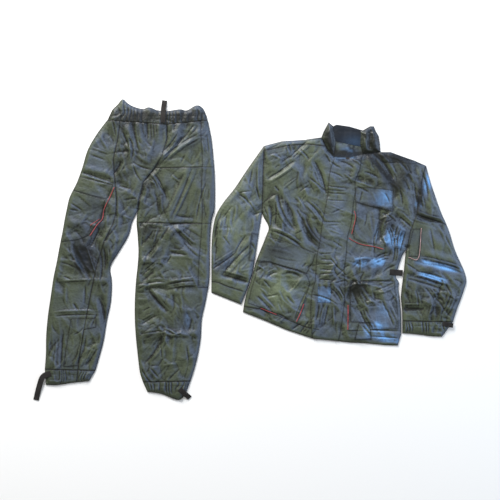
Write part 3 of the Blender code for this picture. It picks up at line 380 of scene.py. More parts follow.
# Jacket: the largest folds
JACKET_FOLDS = [
    Fold(-150, 322, -246, 262, 13, -3.2),
    Fold(-140, 300, -240, 240, 16, 2.8),
    Fold(-162, 352, -100, 392, 12, -3.5),
    Fold(-70, 310, -34, 210, 13, -5.0),
    Fold(-95, 320, -62, 215, 15, 4.5),
    Fold(-198, 196, -143, 78, 13, -5.0),
    Fold(-225, 190, -178, 70, 15, 4.0),
    Fold(-114, 110, -78, 30, 15, -6.0),
    Fold(-135, 120, -112, 15, 15, 4.5),
    Fold(-98, 168, -44, 96, 12, 3.5),
    Fold(-256, 350, -262, 150, 11, -3.0),
    Fold(-240, 160, -215, 90, 13, -4.0),
    Fold(-230, 75, -150, 45, 13, 4.0),
    Fold(-180, -95, -150, -150, 15, -4.0),
    Fold(-250, -100, -200, -150, 18, 4.5),
    Fold(-105, -95, -178, -175, 15, 4.5),
    Fold(-255, -155, -225, -205, 13, -3.5),
    Fold(137, 353, 200, 262, 13, -5.0),
    Fold(120, 330, 178, 245, 17, 4.5),
    Fold(90, 330, 60, 245, 13, 4.0),
    Fold(70, 262, 135, 240, 12, -4.0),
    Fold(200, 250, 216, 180, 13, -3.5),
    Fold(240, 270, 262, 160, 18, 4.0),
    Fold(160, 150, 158, 30, 12, -5.0),
    Fold(190, 120, 182, 20, 15, 5.0),
    Fold(215, 130, 260, 75, 12, -4.5),
    Fold(170, -20, 235, 25, 15, 4.5),
    Fold(140, -40, 225, 5, 12, -4.0),
    Fold(60, -40, 160, -35, 22, 5.0),
    Fold(100, -112, 205, -60, 14, -4.0),
    Fold(60, -145, 150, -165, 18, -4.5),
    Fold(165, -150, 195, -215, 14, 4.5),
    Fold(110, -200, 200, -190, 18, 4.0),
    Fold(120, -290, 220, -300, 11, 2.5),
    Fold(30, 190, -10, 130, 16, 2.5),
    Fold(20, 60, -40, 30, 14, 2.5),
    Fold(20, -60, -50, -95, 14, 2.5),
    Fold(-350, -25, -400, -85, 15, -5.0),
    Fold(-330, -60, -375, -110, 14, 4.5),
    Fold(-400, -88, -312, -112, 13, -5.0),
    Fold(-430, 80, -438, -10, 13, -4.5),
    Fold(-405, 110, -425, 20, 17, 4.5),
    Fold(-345, 200, -325, 165, 13, -4.0),
    Fold(-300, 128, -262, 141, 12, -4.0),
    Fold(-320, 250, -330, 120, 18, 4.0),
    Fold(-302, 40, -350, -40, 15, 4.0),
    Fold(-390, 60, -400, -40, 18, 4.0),
    Fold(-285, 215, -268, 170, 12, -3.0),
    Fold(332, 290, 350, 170, 12, 4.0),
    Fold(300, 118, 392, 84, 14, -5.0),
    Fold(330, 60, 390, 10, 18, 3.5),
    Fold(330, -10, 440, -42, 16, 5.0),
    Fold(310, -55, 430, -95, 15, 5.0),
    Fold(320, -28, 445, -68, 12, -4.0),
    Fold(262, -95, 380, -125, 13, -4.0),
    Fold(246, -212, 315, -222, 13, -5.0),
    Fold(330, -150, 345, -235, 16, 4.5),
    Fold(380, -130, 360, -230, 14, -4.0),
    Fold(430, -110, 395, -220, 16, 4.5),
    Fold(275, -130, 290, -195, 15, 4.0),
]
COLLAR_FOLDS = [
    Fold(-22, 450, -22, 372, 20, 10.0),
    Fold(1, 440, -1, 345, 9, -6.0),
    Fold(112, 432, 108, 365, 12, 7.0),
    Fold(125, 430, 122, 365, 9, -6.0),
    Fold(143, 430, 146, 365, 13, 7.0),
]

# The crisp creases. Each runs from (x1, y1) to (x2, y2), in squares of the photo, and bulges
# sideways by bend. The half width is in squares too, the height in mm, below 0 for a trough.
TROUSER_CREASES = [
    Crease(113, 121, 116, 135, 0, 1.5, -2.0),
    Crease(123, 132, 128, 145, 0, 1.8, -3.0),
    Crease(129, 138, 131, 160, 3, 2.0, -3.6),
    Crease(126, 136, 128, 158, 3, 2.0, 2.4),
    Crease(133, 121, 139, 150, -1, 1.6, -2.2),
    Crease(136, 122, 141, 152, -1, 1.8, 2.0),
    Crease(147, 118, 148, 139, 0, 1.7, -2.8),
    Crease(144, 118, 145, 136, 0, 1.6, 1.8),
    Crease(152, 120, 153, 139, 0, 1.8, 2.0),
    Crease(156, 122, 157, 135, 0, 1.4, -2.2),
    Crease(166, 124, 167, 143, 1, 1.5, -2.8),
    Crease(155, 120, 175, 124, 2, 2.2, -2.6),
    Crease(182, 134, 160, 160, 1, 1.7, 3.4),
    Crease(178, 133, 163, 152, 1, 1.6, -3.0),
    Crease(184, 137, 161, 163, 1, 1.6, -2.8),
    Crease(201, 133, 160, 161, -2, 1.9, -3.0),
    Crease(202, 137, 168, 159, -2, 2.2, 3.0),
    Crease(196, 127, 184, 140, 0, 1.8, 2.2),
    Crease(194, 125, 187, 134, 0, 1.5, -2.2),
    Crease(159, 163, 143, 182, 1, 1.8, -3.2),
    Crease(162, 165, 150, 179, 1, 1.8, 2.4),
    Crease(134, 162, 152, 169, -2, 1.6, -2.4),
    Crease(134, 164, 142, 181, -2, 1.6, -2.0),
    Crease(121, 162, 114, 174, 1, 2.0, -4.0),
    Crease(124, 163, 117, 175, 1, 1.8, 2.4),
    Crease(112, 154, 129, 152, 1, 2.4, -2.2),
    Crease(154, 174, 166, 198, 2, 1.7, -2.8),
    Crease(151, 177, 158, 188, 1, 1.4, -2.6),
    Crease(157, 181, 164, 192, 0, 1.4, -2.8),
    Crease(150, 181, 156, 184, 0, 1.3, 2.0),
    Crease(191, 170, 171, 217, 1, 2.4, -3.2),
    Crease(194, 173, 173, 219, 1, 2.0, 2.6),
    Crease(186, 172, 166, 214, 1, 2.6, 2.2),
    Crease(175, 215, 194, 217, -1, 3.0, -2.8),
    Crease(156, 194, 159, 214, 0, 3.0, -1.8),
    Crease(162, 196, 163, 213, -1, 2.0, 1.8),
    Crease(145, 185, 138, 212, -1, 2.4, -3.6),
    Crease(148, 190, 144, 205, -1, 2.0, 1.8),
    Crease(120, 186, 130, 189, 0, 1.6, -2.8),
    Crease(117, 188, 117, 221, 0, 1.3, -1.8),
    Crease(82, 172, 113, 183, 0, 1.6, -2.4),
    Crease(82, 177, 112, 185, 0, 1.4, -2.0),
    Crease(81, 174, 112, 184, 0, 1.3, 1.8),
    Crease(71, 203, 82, 210, 0, 1.8, -2.2),
    Crease(69, 209, 79, 211, 0, 1.5, -1.8),
    Crease(112, 231, 104, 244, 0, 1.9, -3.0),
    Crease(117, 225, 111, 234, 0, 1.7, -2.0),
    Crease(100, 228, 92, 245, 0, 1.5, -2.8),
    Crease(207, 134, 209, 153, 0, 1.2, -1.8),
    Crease(207, 182, 197, 220, -2, 1.6, -2.4),
    Crease(176, 231, 192, 247, 0, 2.1, -4.2),
    Crease(178, 228, 194, 243, 0, 2.0, 2.8),
    Crease(169, 227, 160, 241, 0, 2.0, -3.6),
    Crease(153, 231, 147, 240, 0, 1.8, -3.0),
    Crease(165, 226, 192, 224, 1, 2.0, -3.0),
    Crease(158, 228, 153, 243, 0, 1.8, 2.2),
    Crease(74, 245, 90, 276, -2, 4.0, -4.2),
    Crease(71, 245, 86, 276, -2, 2.4, 2.4),
    Crease(87, 247, 97, 276, 0, 1.6, 3.0),
    Crease(99, 250, 100, 281, 3, 1.8, -2.6),
    Crease(103, 246, 104, 270, 2, 1.7, -2.2),
    Crease(108, 250, 108, 268, 1, 1.5, 2.0),
    Crease(60, 262, 76, 268, 1, 2.2, -2.0),
    Crease(64, 276, 71, 279, 0, 1.6, -2.4),
    Crease(58, 281, 96, 279, 0, 1.5, 2.0),
    Crease(74, 303, 79, 311, 0, 1.8, -3.0),
    Crease(56, 312, 97, 311, 1, 2.0, 2.6),
    Crease(56, 316, 97, 315, 1, 1.8, -2.4),
    Crease(99, 299, 105, 325, 2, 2.6, -3.6),
    Crease(92, 326, 97, 314, 0, 1.6, -2.2),
    Crease(75, 334, 83, 328, -1, 1.4, -2.2),
    Crease(86, 336, 77, 364, 2, 2.0, -2.8),
    Crease(82, 336, 74, 364, 2, 1.8, 2.0),
    Crease(97, 349, 87, 365, 0, 1.7, -2.6),
    Crease(95, 343, 84, 366, 0, 1.6, 1.8),
    Crease(63, 336, 61, 371, 0, 2.4, -2.6),
    Crease(57, 340, 55, 368, 0, 2.0, 1.6),
    Crease(66, 285, 66, 305, 0, 2.6, 1.6),
    Crease(86, 285, 85, 305, 0, 2.0, -1.8),
    Crease(145, 284, 165, 282, 1, 1.7, -2.8),
    Crease(145, 281, 166, 279, 1, 1.6, 2.2),
    Crease(166, 285, 195, 281, 1, 2.0, -4.0),
    Crease(168, 288, 196, 285, 1, 1.7, 3.0),
    Crease(172, 281, 195, 277, 0, 1.6, 1.8),
    Crease(150, 291, 167, 311, -1, 2.1, -4.2),
    Crease(153, 290, 170, 310, -1, 1.9, 2.6),
    Crease(138, 289, 150, 283, 0, 1.5, -2.2),
    Crease(147, 256, 156, 245, 0, 1.8, -3.4),
    Crease(150, 259, 159, 248, 0, 1.6, 2.2),
    Crease(182, 237, 198, 256, -2, 2.0, -3.6),
    Crease(171, 252, 187, 254, -1, 2.0, -3.2),
    Crease(170, 249, 186, 250, -1, 2.0, 2.0),
    Crease(167, 263, 171, 256, 0, 1.6, -2.8),
    Crease(145, 270, 156, 261, 0, 1.3, -2.4),
    Crease(142, 276, 150, 268, 0, 1.3, -2.2),
    Crease(148, 272, 157, 264, 0, 1.3, 1.8),
    Crease(142, 324, 155, 316, 0, 1.5, -3.0),
    Crease(148, 326, 156, 322, 0, 1.3, -2.2),
    Crease(141, 320, 153, 313, 0, 1.4, 2.0),
    Crease(143, 311, 150, 307, 0, 1.5, -2.2),
    Crease(142, 334, 167, 331, 1, 1.7, -3.0),
    Crease(167, 330, 182, 333, -2, 1.7, -3.2),
    Crease(163, 328, 178, 336, 2, 1.6, 2.4),
    Crease(162, 334, 145, 362, 3, 2.4, -4.4),
    Crease(165, 337, 150, 360, 3, 2.0, 2.8),
    Crease(161, 345, 162, 357, 0, 1.3, -2.0),
    Crease(172, 336, 184, 331, 0, 1.5, 2.2),
    Crease(187, 346, 189, 362, 0, 1.8, -1.8),
    Crease(142, 366, 156, 385, -3, 2.0, -3.2),
    Crease(151, 368, 159, 378, 0, 1.8, -2.4),
    Crease(169, 379, 179, 369, 0, 1.7, -2.2),
    Crease(172, 292, 174, 309, 1, 3.0, -2.0),
    Crease(180, 294, 182, 312, 1, 2.6, 1.6),
    Crease(192, 318, 189, 331, 0, 2.4, -2.2),
    Crease(163, 366, 176, 364, 1, 2.2, 1.8),
    Crease(100, 135, 108, 150, 0, 2.6, 1.6),
    Crease(91, 155, 105, 160, 0, 2.0, -2.0),
    Crease(93, 148, 108, 153, 0, 1.7, 1.8),
    Crease(124, 200, 138, 198, 0, 2.2, -1.8),
    Crease(119, 217, 131, 205, 0, 2.2, 1.8),
    Crease(172, 176, 180, 182, 0, 2.0, 1.8),
    Crease(185, 155, 181, 163, 0, 2.0, -1.8),
]
JACKET_CREASES = [
    Crease(366, 214, 364, 226, 0.8, 1.8, -1.4),
    Crease(370, 213, 373, 234, -1.4, 2.6, 1.2),
    Crease(377, 222, 374, 239, 0.8, 1.9, -1.6),
    Crease(362, 191, 359, 203, 0, 2.0, -1.4),
    Crease(384, 193, 389, 203, 0.9, 1.8, -1.2),
    Crease(371, 192, 376, 202, 0.8, 2.4, 0.8),
    Crease(266, 248, 292, 254, 1.5, 2.6, 0.7),
    Crease(274, 256, 298, 261, -1, 2.2, -0.8),
    Crease(344, 128, 341, 146, 0.6, 2.2, -4.0),
    Crease(351, 127, 352, 147, -0.5, 2.4, 3.6),
    Crease(338, 132, 362, 133, 1, 2.0, -3.6),
    Crease(293, 161, 267, 179, 1, 1.9, -3.6),
    Crease(294, 165, 269, 182, 1, 2.0, 2.8),
    Crease(283, 169, 275, 176, 0, 1.5, -2.6),
    Crease(279, 165, 275, 168, 0, 1.3, -2.2),
    Crease(307, 141, 290, 157, 0, 1.7, -3.8),
    Crease(310, 144, 293, 160, 0, 1.8, 2.4),
    Crease(264, 150, 284, 141, -1, 1.4, -2.4),
    Crease(264, 150, 265, 161, 0, 1.5, -2.8),
    Crease(286, 144, 289, 154, 0, 1.5, 2.0),
    Crease(288, 143, 291, 152, 0, 1.3, -2.0),
    Crease(281, 163, 290, 156, 0, 2.8, -2.0),
    Crease(315, 163, 325, 192, 2, 1.9, -4.2),
    Crease(311, 164, 321, 190, 2, 2.0, 2.6),
    Crease(310, 178, 325, 191, 0, 1.6, -3.2),
    Crease(279, 196, 295, 229, -4, 2.1, -4.4),
    Crease(276, 198, 291, 228, -4, 2.0, 2.8),
    Crease(307, 202, 324, 223, 2, 1.5, -3.0),
    Crease(310, 202, 326, 221, 2, 1.3, 2.0),
    Crease(304, 204, 321, 225, 2, 1.3, 1.8),
    Crease(302, 219, 317, 245, -4, 2.8, -4.6),
    Crease(305, 216, 321, 242, -4, 2.0, 2.8),
    Crease(283, 188, 296, 178, 0, 1.3, 2.0),
    Crease(275, 186, 279, 191, 0, 1.8, -3.0),
    Crease(299, 192, 309, 185, 0, 1.3, -2.2),
    Crease(259, 164, 261, 202, -2, 1.8, 2.0),
    Crease(256, 187, 260, 200, 0, 1.5, -2.6),
    Crease(239, 193, 250, 191, 0, 1.3, -2.4),
    Crease(239, 195, 254, 211, 2, 1.6, -2.8),
    Crease(253, 215, 261, 212, 0, 1.5, -3.0),
    Crease(220, 218, 215, 240, -2, 2.2, -3.8),
    Crease(223, 219, 219, 240, -2, 1.8, 2.2),
    Crease(217, 238, 213, 254, 0, 1.7, -2.8),
    Crease(227, 215, 225, 225, 0, 1.4, -1.8),
    Crease(275, 199, 275, 225, 1, 1.3, -2.4),
    Crease(264, 207, 269, 220, 0, 1.5, -2.2),
    Crease(210, 270, 236, 252, -1, 1.9, -3.4),
    Crease(235, 252, 245, 236, 0, 1.8, -3.0),
    Crease(208, 266, 236, 248, -1, 1.8, 2.2),
    Crease(223, 274, 250, 245, 1, 2.2, -4.0),
    Crease(227, 275, 252, 249, 1, 2.0, 2.4),
    Crease(222, 275, 250, 283, 0, 2.8, -4.6),
    Crease(222, 270, 250, 278, 0, 1.8, 2.0),
    Crease(252, 244, 256, 251, 0, 2.0, -2.6),
    Crease(228, 225, 225, 240, 2, 1.6, 1.6),
    Crease(236, 205, 233, 222, 1, 2.0, 1.8),
    Crease(230, 245, 223, 236, 0, 1.6, -1.8),
    Crease(247, 262, 240, 270, 0, 1.6, 1.6),
    Crease(270, 231, 303, 249, 3, 2.2, -4.0),
    Crease(273, 229, 300, 244, 3, 1.8, 2.4),
    Crease(272, 213, 270, 230, 0, 1.7, -3.0),
    Crease(281, 222, 284, 234, 0, 1.8, 1.8),
    Crease(295, 234, 303, 230, 0, 1.5, -2.0),
    Crease(300, 223, 306, 235, 1, 2.2, 2.2),
    Crease(288, 236, 301, 243, 0, 1.3, 1.8),
    Crease(270, 263, 308, 274, 0, 1.5, -2.0),
    Crease(302, 267, 306, 263, 0, 1.6, -2.6),
    Crease(307, 269, 311, 264, 0, 1.4, -2.4),
    Crease(255, 272, 261, 268, 0, 1.8, -3.6),
    Crease(257, 266, 264, 270, 1, 1.3, 2.4),
    Crease(266, 278, 277, 272, 1, 1.9, -3.4),
    Crease(266, 274, 276, 269, 1, 1.6, 2.4),
    Crease(264, 280, 271, 288, 0, 1.7, -3.4),
    Crease(281, 275, 300, 277, 3, 2.8, -3.0),
    Crease(283, 271, 300, 274, 2, 2.0, 2.2),
    Crease(260, 288, 268, 297, 1, 1.7, 2.2),
    Crease(266, 296, 278, 293, -1, 1.7, -3.0),
    Crease(258, 296, 272, 311, 0, 2.0, -4.2),
    Crease(261, 294, 275, 309, 0, 1.7, 2.6),
    Crease(286, 295, 294, 304, 0, 2.4, -3.0),
    Crease(301, 279, 290, 292, 0, 1.6, 2.4),
    Crease(277, 290, 283, 303, 1, 2.2, 2.0),
    Crease(307, 290, 295, 318, -1, 1.3, -2.2),
    Crease(309, 291, 298, 318, -1, 1.2, 1.8),
    Crease(291, 330, 301, 323, 0, 1.9, -3.6),
    Crease(299, 334, 309, 320, 0, 1.7, -2.8),
    Crease(304, 334, 312, 323, 0, 1.4, 2.0),
    Crease(262, 310, 270, 316, 1, 1.6, -2.4),
    Crease(276, 313, 288, 320, 1, 1.6, -2.0),
    Crease(280, 321, 286, 315, 0, 1.4, 1.8),
    Crease(326, 186, 345, 188, 0, 1.0, -1.9),
    Crease(326, 190, 345, 191, 0, 1.0, -1.6),
    Crease(326, 193, 345, 194, 0, 1.0, -1.6),
    Crease(327, 200, 346, 201, 0, 1.0, -1.9),
    Crease(325, 222, 341, 222, 0, 1.0, -2.0),
    Crease(325, 225, 338, 225, 0, 1.0, -1.8),
    Crease(333, 241, 342, 247, 0, 1.3, -2.2),
    Crease(330, 205, 344, 211, 0, 1.7, 1.6),
    Crease(331, 213, 343, 208, 0, 1.5, -1.8),
    Crease(328, 229, 342, 234, 0, 1.6, 1.6),
    Crease(320, 254, 332, 253, 0, 1.2, -2.4),
    Crease(321, 259, 333, 260, 0, 1.2, -2.4),
    Crease(321, 264, 334, 264, 0, 1.2, -2.0),
    Crease(320, 269, 333, 270, 0, 1.2, -2.4),
    Crease(320, 274, 333, 273, 0, 1.2, -2.4),
    Crease(319, 279, 331, 280, 0, 1.2, -2.2),
    Crease(330, 258, 338, 268, 0, 1.4, -2.8),
    Crease(334, 264, 346, 275, 0, 1.4, -2.2),
    Crease(335, 277, 345, 268, 0, 1.4, -2.4),
    Crease(334, 283, 346, 280, 0, 1.4, -2.4),
    Crease(334, 286, 343, 298, 1, 1.4, 2.4),
    Crease(332, 289, 340, 300, 1, 1.4, -2.6),
    Crease(338, 286, 345, 302, 1, 1.4, -2.2),
    Crease(312, 295, 336, 304, 2, 1.3, -2.6),
    Crease(319, 305, 316, 320, 0, 2.2, -2.4),
    Crease(328, 305, 324, 324, 0, 2.0, -2.4),
    Crease(333, 306, 334, 325, 0, 1.8, 1.8),
    Crease(323, 308, 320, 325, 0, 1.8, 2.0),
    Crease(343, 268, 349, 265, 0, 1.3, -2.8),
    Crease(372, 149, 393, 180, 2, 2.2, -4.6),
    Crease(369, 151, 389, 181, 2, 2.2, 2.8),
    Crease(376, 149, 397, 178, 2, 2.0, 2.0),
    Crease(356, 186, 368, 192, 0, 1.6, -2.6),
    Crease(352, 180, 372, 187, 0, 1.7, 2.0),
    Crease(390, 182, 404, 196, 1, 1.8, 2.0),
    Crease(398, 186, 402, 204, 1, 1.7, -2.6),
    Crease(400, 217, 411, 227, 0, 2.0, -4.4),
    Crease(402, 213, 412, 223, 0, 1.7, 2.4),
    Crease(382, 213, 395, 221, 1, 1.6, -3.0),
    Crease(380, 219, 390, 214, 0, 1.5, 2.4),
    Crease(383, 224, 392, 219, 0, 1.4, -2.4),
    Crease(378, 229, 375, 251, -3, 1.4, -2.8),
    Crease(387, 229, 391, 244, 1, 1.5, -2.8),
    Crease(390, 227, 395, 243, 1, 1.5, 2.8),
    Crease(397, 227, 394, 246, -1, 1.4, -2.8),
    Crease(401, 229, 398, 247, -1, 1.5, 2.8),
    Crease(405, 232, 400, 250, 0, 1.4, -2.4),
    Crease(382, 235, 386, 246, 0, 1.7, 2.0),
    Crease(394, 248, 392, 262, 1, 1.5, -2.8),
    Crease(398, 248, 396, 262, 1, 1.5, 2.6),
    Crease(375, 262, 389, 257, 1, 1.7, 3.0),
    Crease(375, 258, 387, 253, 1, 1.6, -3.0),
    Crease(352, 262, 370, 259, 2, 2.2, 2.4),
    Crease(352, 268, 358, 262, 0, 1.6, -2.0),
    Crease(360, 258, 360, 272, 1, 1.8, 1.8),
    Crease(383, 272, 396, 265, 1, 1.9, -2.8),
    Crease(349, 281, 396, 281, 0, 1.4, -3.4),
    Crease(352, 284, 372, 284, 0, 1.6, 2.2),
    Crease(374, 290, 396, 281, -1, 1.7, -3.0),
    Crease(376, 293, 395, 286, -1, 1.7, 2.4),
    Crease(360, 290, 368, 301, 0, 2.8, -3.2),
    Crease(352, 290, 358, 305, 0, 1.7, -2.4),
    Crease(365, 303, 382, 301, 1, 1.8, 2.2),
    Crease(382, 300, 386, 311, 0, 1.8, -2.4),
    Crease(386, 308, 393, 325, 0, 1.8, -3.2),
    Crease(390, 304, 398, 322, 0, 1.8, 2.4),
    Crease(360, 310, 370, 330, -1, 1.7, -2.6),
    Crease(364, 308, 374, 328, -1, 2.0, 2.2),
    Crease(369, 330, 400, 331, 0, 1.3, -2.6),
    Crease(369, 336, 400, 338, 0, 1.3, -2.6),
    Crease(362, 325, 370, 335, 0, 1.6, -2.4),
    Crease(391, 290, 400, 306, 0, 2.0, 2.0),
    Crease(418, 200, 417, 214, 0, 1.6, -2.2),
    Crease(417, 215, 444, 222, -2, 2.4, -4.4),
    Crease(418, 211, 443, 218, -2, 1.9, 2.4),
    Crease(424, 170, 432, 196, 2, 2.2, 2.8),
    Crease(421, 172, 427, 198, 2, 1.8, -2.8),
    Crease(430, 186, 436, 205, 0, 1.8, -2.0),
    Crease(420, 190, 424, 208, 0, 1.7, 2.0),
    Crease(414, 184, 417, 206, 0, 1.6, -2.6),
    Crease(427, 260, 465, 270, 2, 2.0, 3.6),
    Crease(426, 264, 463, 274, 2, 2.0, -3.0),
    Crease(416, 275, 447, 285, 1, 2.2, 3.6),
    Crease(405, 278, 445, 291, 1, 2.2, -3.4),
    Crease(414, 271, 445, 279, 1, 1.8, -2.4),
    Crease(404, 262, 418, 271, 0, 1.3, -2.0),
    Crease(420, 258, 438, 261, 1, 1.7, 2.2),
    Crease(402, 309, 422, 309, 0, 2.6, -4.6),
    Crease(402, 304, 421, 304, 0, 1.8, 2.4),
    Crease(415, 290, 418, 307, 1, 1.6, -2.6),
    Crease(425, 288, 433, 300, 1, 2.0, -3.2),
    Crease(429, 287, 437, 299, 1, 1.8, 2.4),
    Crease(436, 299, 444, 311, 1, 1.8, -2.8),
    Crease(443, 282, 451, 296, 1, 2.0, -2.8),
    Crease(450, 292, 439, 315, 2, 1.8, -2.6),
    Crease(454, 294, 444, 316, 2, 1.8, 2.4),
    Crease(432, 303, 428, 316, 0, 1.6, 2.0),
    Crease(409, 292, 411, 303, 0, 1.7, 1.8),
    Crease(437, 225, 446, 243, 1, 2.4, 2.0),
    Crease(430, 229, 434, 250, 0, 2.2, -1.8),
    Crease(444, 236, 458, 262, 1, 2.2, -2.2),
    Crease(412, 219, 430, 224, 0, 1.7, 1.8),
    Crease(324, 150, 332, 166, 1, 1.8, 2.4),
    Crease(329, 160, 341, 168, -1, 1.7, -2.6),
    Crease(340, 162, 354, 170, 2, 1.8, -2.4),
    Crease(350, 158, 362, 166, 1, 1.8, 2.2),
    Crease(329, 172, 343, 178, 1, 1.6, -2.2),
    Crease(344, 174, 352, 182, 1, 1.6, 2.0),
    Crease(389, 157, 404, 162, 1, 1.8, 2.2),
    Crease(396, 160, 410, 174, 1, 1.8, -2.6),
    Crease(405, 165, 414, 182, 0, 1.8, 2.4),
    Crease(364, 172, 378, 178, 1, 1.8, -2.4),
    Crease(300, 150, 309, 160, 1, 1.7, -2.2),
    Crease(271, 155, 281, 160, 1, 2.0, 1.8),
    Crease(246, 172, 240, 186, 0, 2.0, 1.8),
    Crease(252, 170, 249, 188, 0, 1.8, -1.8),
    Crease(232, 206, 222, 219, 0, 1.8, -2.0),
    Crease(296, 197, 304, 209, 1, 2.2, 2.0),
    Crease(297, 210, 303, 221, 0, 2.0, -1.8),
]

# How the small creases run: places in squares, how far each reaches, the turn of the creases
# anticlockwise from X in degrees, how much they vary, and how strong they are.
TROUSER_GRAINS = [
    Grain(120, 125, 16, 98, 25, 1.1),
    Grain(155, 125, 18, 92, 22, 1.2),
    Grain(190, 128, 16, 50, 25, 1.0),
    Grain(95, 150, 18, 60, 40, 0.6),
    Grain(135, 160, 16, 105, 30, 0.9),
    Grain(180, 155, 18, 35, 20, 0.7),
    Grain(88, 190, 16, -18, 25, 0.6),
    Grain(128, 200, 16, 70, 40, 0.9),
    Grain(180, 195, 20, 65, 20, 0.6),
    Grain(152, 185, 10, 120, 50, 1.3),
    Grain(80, 225, 18, 30, 40, 0.9),
    Grain(110, 235, 14, 60, 30, 1.0),
    Grain(105, 262, 10, 85, 30, 1.3),
    Grain(160, 240, 18, 45, 35, 1.2),
    Grain(185, 255, 16, -35, 35, 0.9),
    Grain(148, 268, 12, 40, 20, 1.3),
    Grain(72, 262, 16, -30, 40, 0.8),
    Grain(75, 295, 20, 90, 40, 0.6),
    Grain(160, 284, 14, 10, 20, 1.2),
    Grain(175, 305, 20, -60, 45, 0.8),
    Grain(147, 315, 12, 30, 30, 1.1),
    Grain(165, 335, 14, 20, 45, 1.5),
    Grain(70, 335, 16, 80, 25, 0.7),
    Grain(88, 350, 16, 60, 25, 0.9),
    Grain(160, 362, 18, 60, 50, 0.9),
    Grain(62, 372, 16, 80, 20, 1.2),
    Grain(168, 385, 16, 85, 25, 1.2),
    Grain(205, 200, 14, 92, 12, 0.7),
    Grain(205, 150, 14, 95, 12, 0.8),
]
JACKET_GRAINS = [
    Grain(280, 155, 18, 35, 35, 0.8),
    Grain(305, 150, 14, 45, 35, 0.9),
    Grain(255, 180, 14, 75, 25, 0.7),
    Grain(285, 185, 16, 35, 45, 0.9),
    Grain(312, 180, 14, -60, 30, 1.0),
    Grain(240, 205, 16, 60, 30, 0.8),
    Grain(232, 235, 16, 75, 30, 1.0),
    Grain(248, 230, 14, 85, 20, 0.8),
    Grain(272, 215, 12, 75, 40, 1.4),
    Grain(290, 215, 14, -65, 30, 1.1),
    Grain(315, 225, 14, -55, 25, 1.0),
    Grain(280, 236, 12, -35, 25, 1.3),
    Grain(235, 262, 16, 45, 25, 0.9),
    Grain(237, 290, 14, -20, 20, 0.5),
    Grain(282, 256, 16, -15, 15, 0.25),
    Grain(264, 276, 10, 30, 60, 1.5),
    Grain(285, 285, 18, -35, 50, 0.9),
    Grain(270, 312, 16, -40, 40, 1.2),
    Grain(295, 322, 14, 50, 40, 1.2),
    Grain(338, 175, 14, 0, 20, 0.8),
    Grain(335, 215, 16, 10, 35, 0.7),
    Grain(328, 262, 12, 0, 12, 1.2),
    Grain(340, 275, 12, 30, 60, 1.7),
    Grain(325, 315, 14, 85, 25, 0.9),
    Grain(345, 155, 14, -30, 35, 0.9),
    Grain(375, 170, 16, -50, 30, 0.9),
    Grain(400, 180, 14, -60, 30, 0.9),
    Grain(370, 205, 14, -15, 35, 0.6),
    Grain(390, 220, 12, 10, 60, 1.6),
    Grain(365, 235, 12, 85, 30, 0.6),
    Grain(395, 245, 14, 75, 30, 1.5),
    Grain(365, 262, 14, 40, 60, 1.2),
    Grain(385, 285, 14, 20, 35, 1.1),
    Grain(362, 300, 14, -60, 40, 1.2),
    Grain(385, 318, 16, -65, 25, 0.7),
    Grain(425, 185, 16, -70, 20, 0.9),
    Grain(425, 235, 18, -80, 25, 0.5),
    Grain(445, 250, 16, -60, 25, 0.6),
    Grain(435, 272, 16, -12, 15, 0.9),
    Grain(412, 300, 14, 80, 35, 1.0),
    Grain(438, 300, 16, -50, 50, 1.5),
    Grain(425, 326, 16, 85, 20, 1.2),
    Grain(372, 333, 14, 0, 20, 0.8),
]
# Where the cloth lies smooth: light is the share of the small creases that is left there.
TROUSER_CALM = [
    Shade(160, 148, 7, 11, 0, 0, 0.15),
    Shade(92, 193, 14, 8, -15, 0, 0.35),
    Shade(181, 199, 8, 22, -25, 0, 0.3),
    Shade(80, 292, 16, 11, 0, 0, 0.45),
    Shade(172, 350, 12, 10, 0, 0, 0.5),
    Shade(95, 165, 12, 8, -60, 0, 0.5),
    Shade(176, 263, 14, 9, 30, 0, 0.5),
]
JACKET_CALM = [
    Shade(283, 255, 24, 9, -15, 0, 0.12),
    Shade(324, 295, 8, 8, 0, 0, 0.1),
    Shade(372, 197, 18, 9, -8, 0, 0.4),
    Shade(425, 240, 12, 18, 0, 0, 0.35),
    Shade(285, 175, 14, 7, 35, 0, 0.4),
    Shade(237, 293, 14, 7, -20, 0, 0.35),
    Shade(333, 215, 8, 14, 0, 0, 0.5),
    Shade(380, 315, 14, 9, 0, 0, 0.45),
    Shade(413, 242, 6, 16, 0, 0, 0.15),
    Shade(366, 228, 7, 11, 0, 0, 0.35),
]
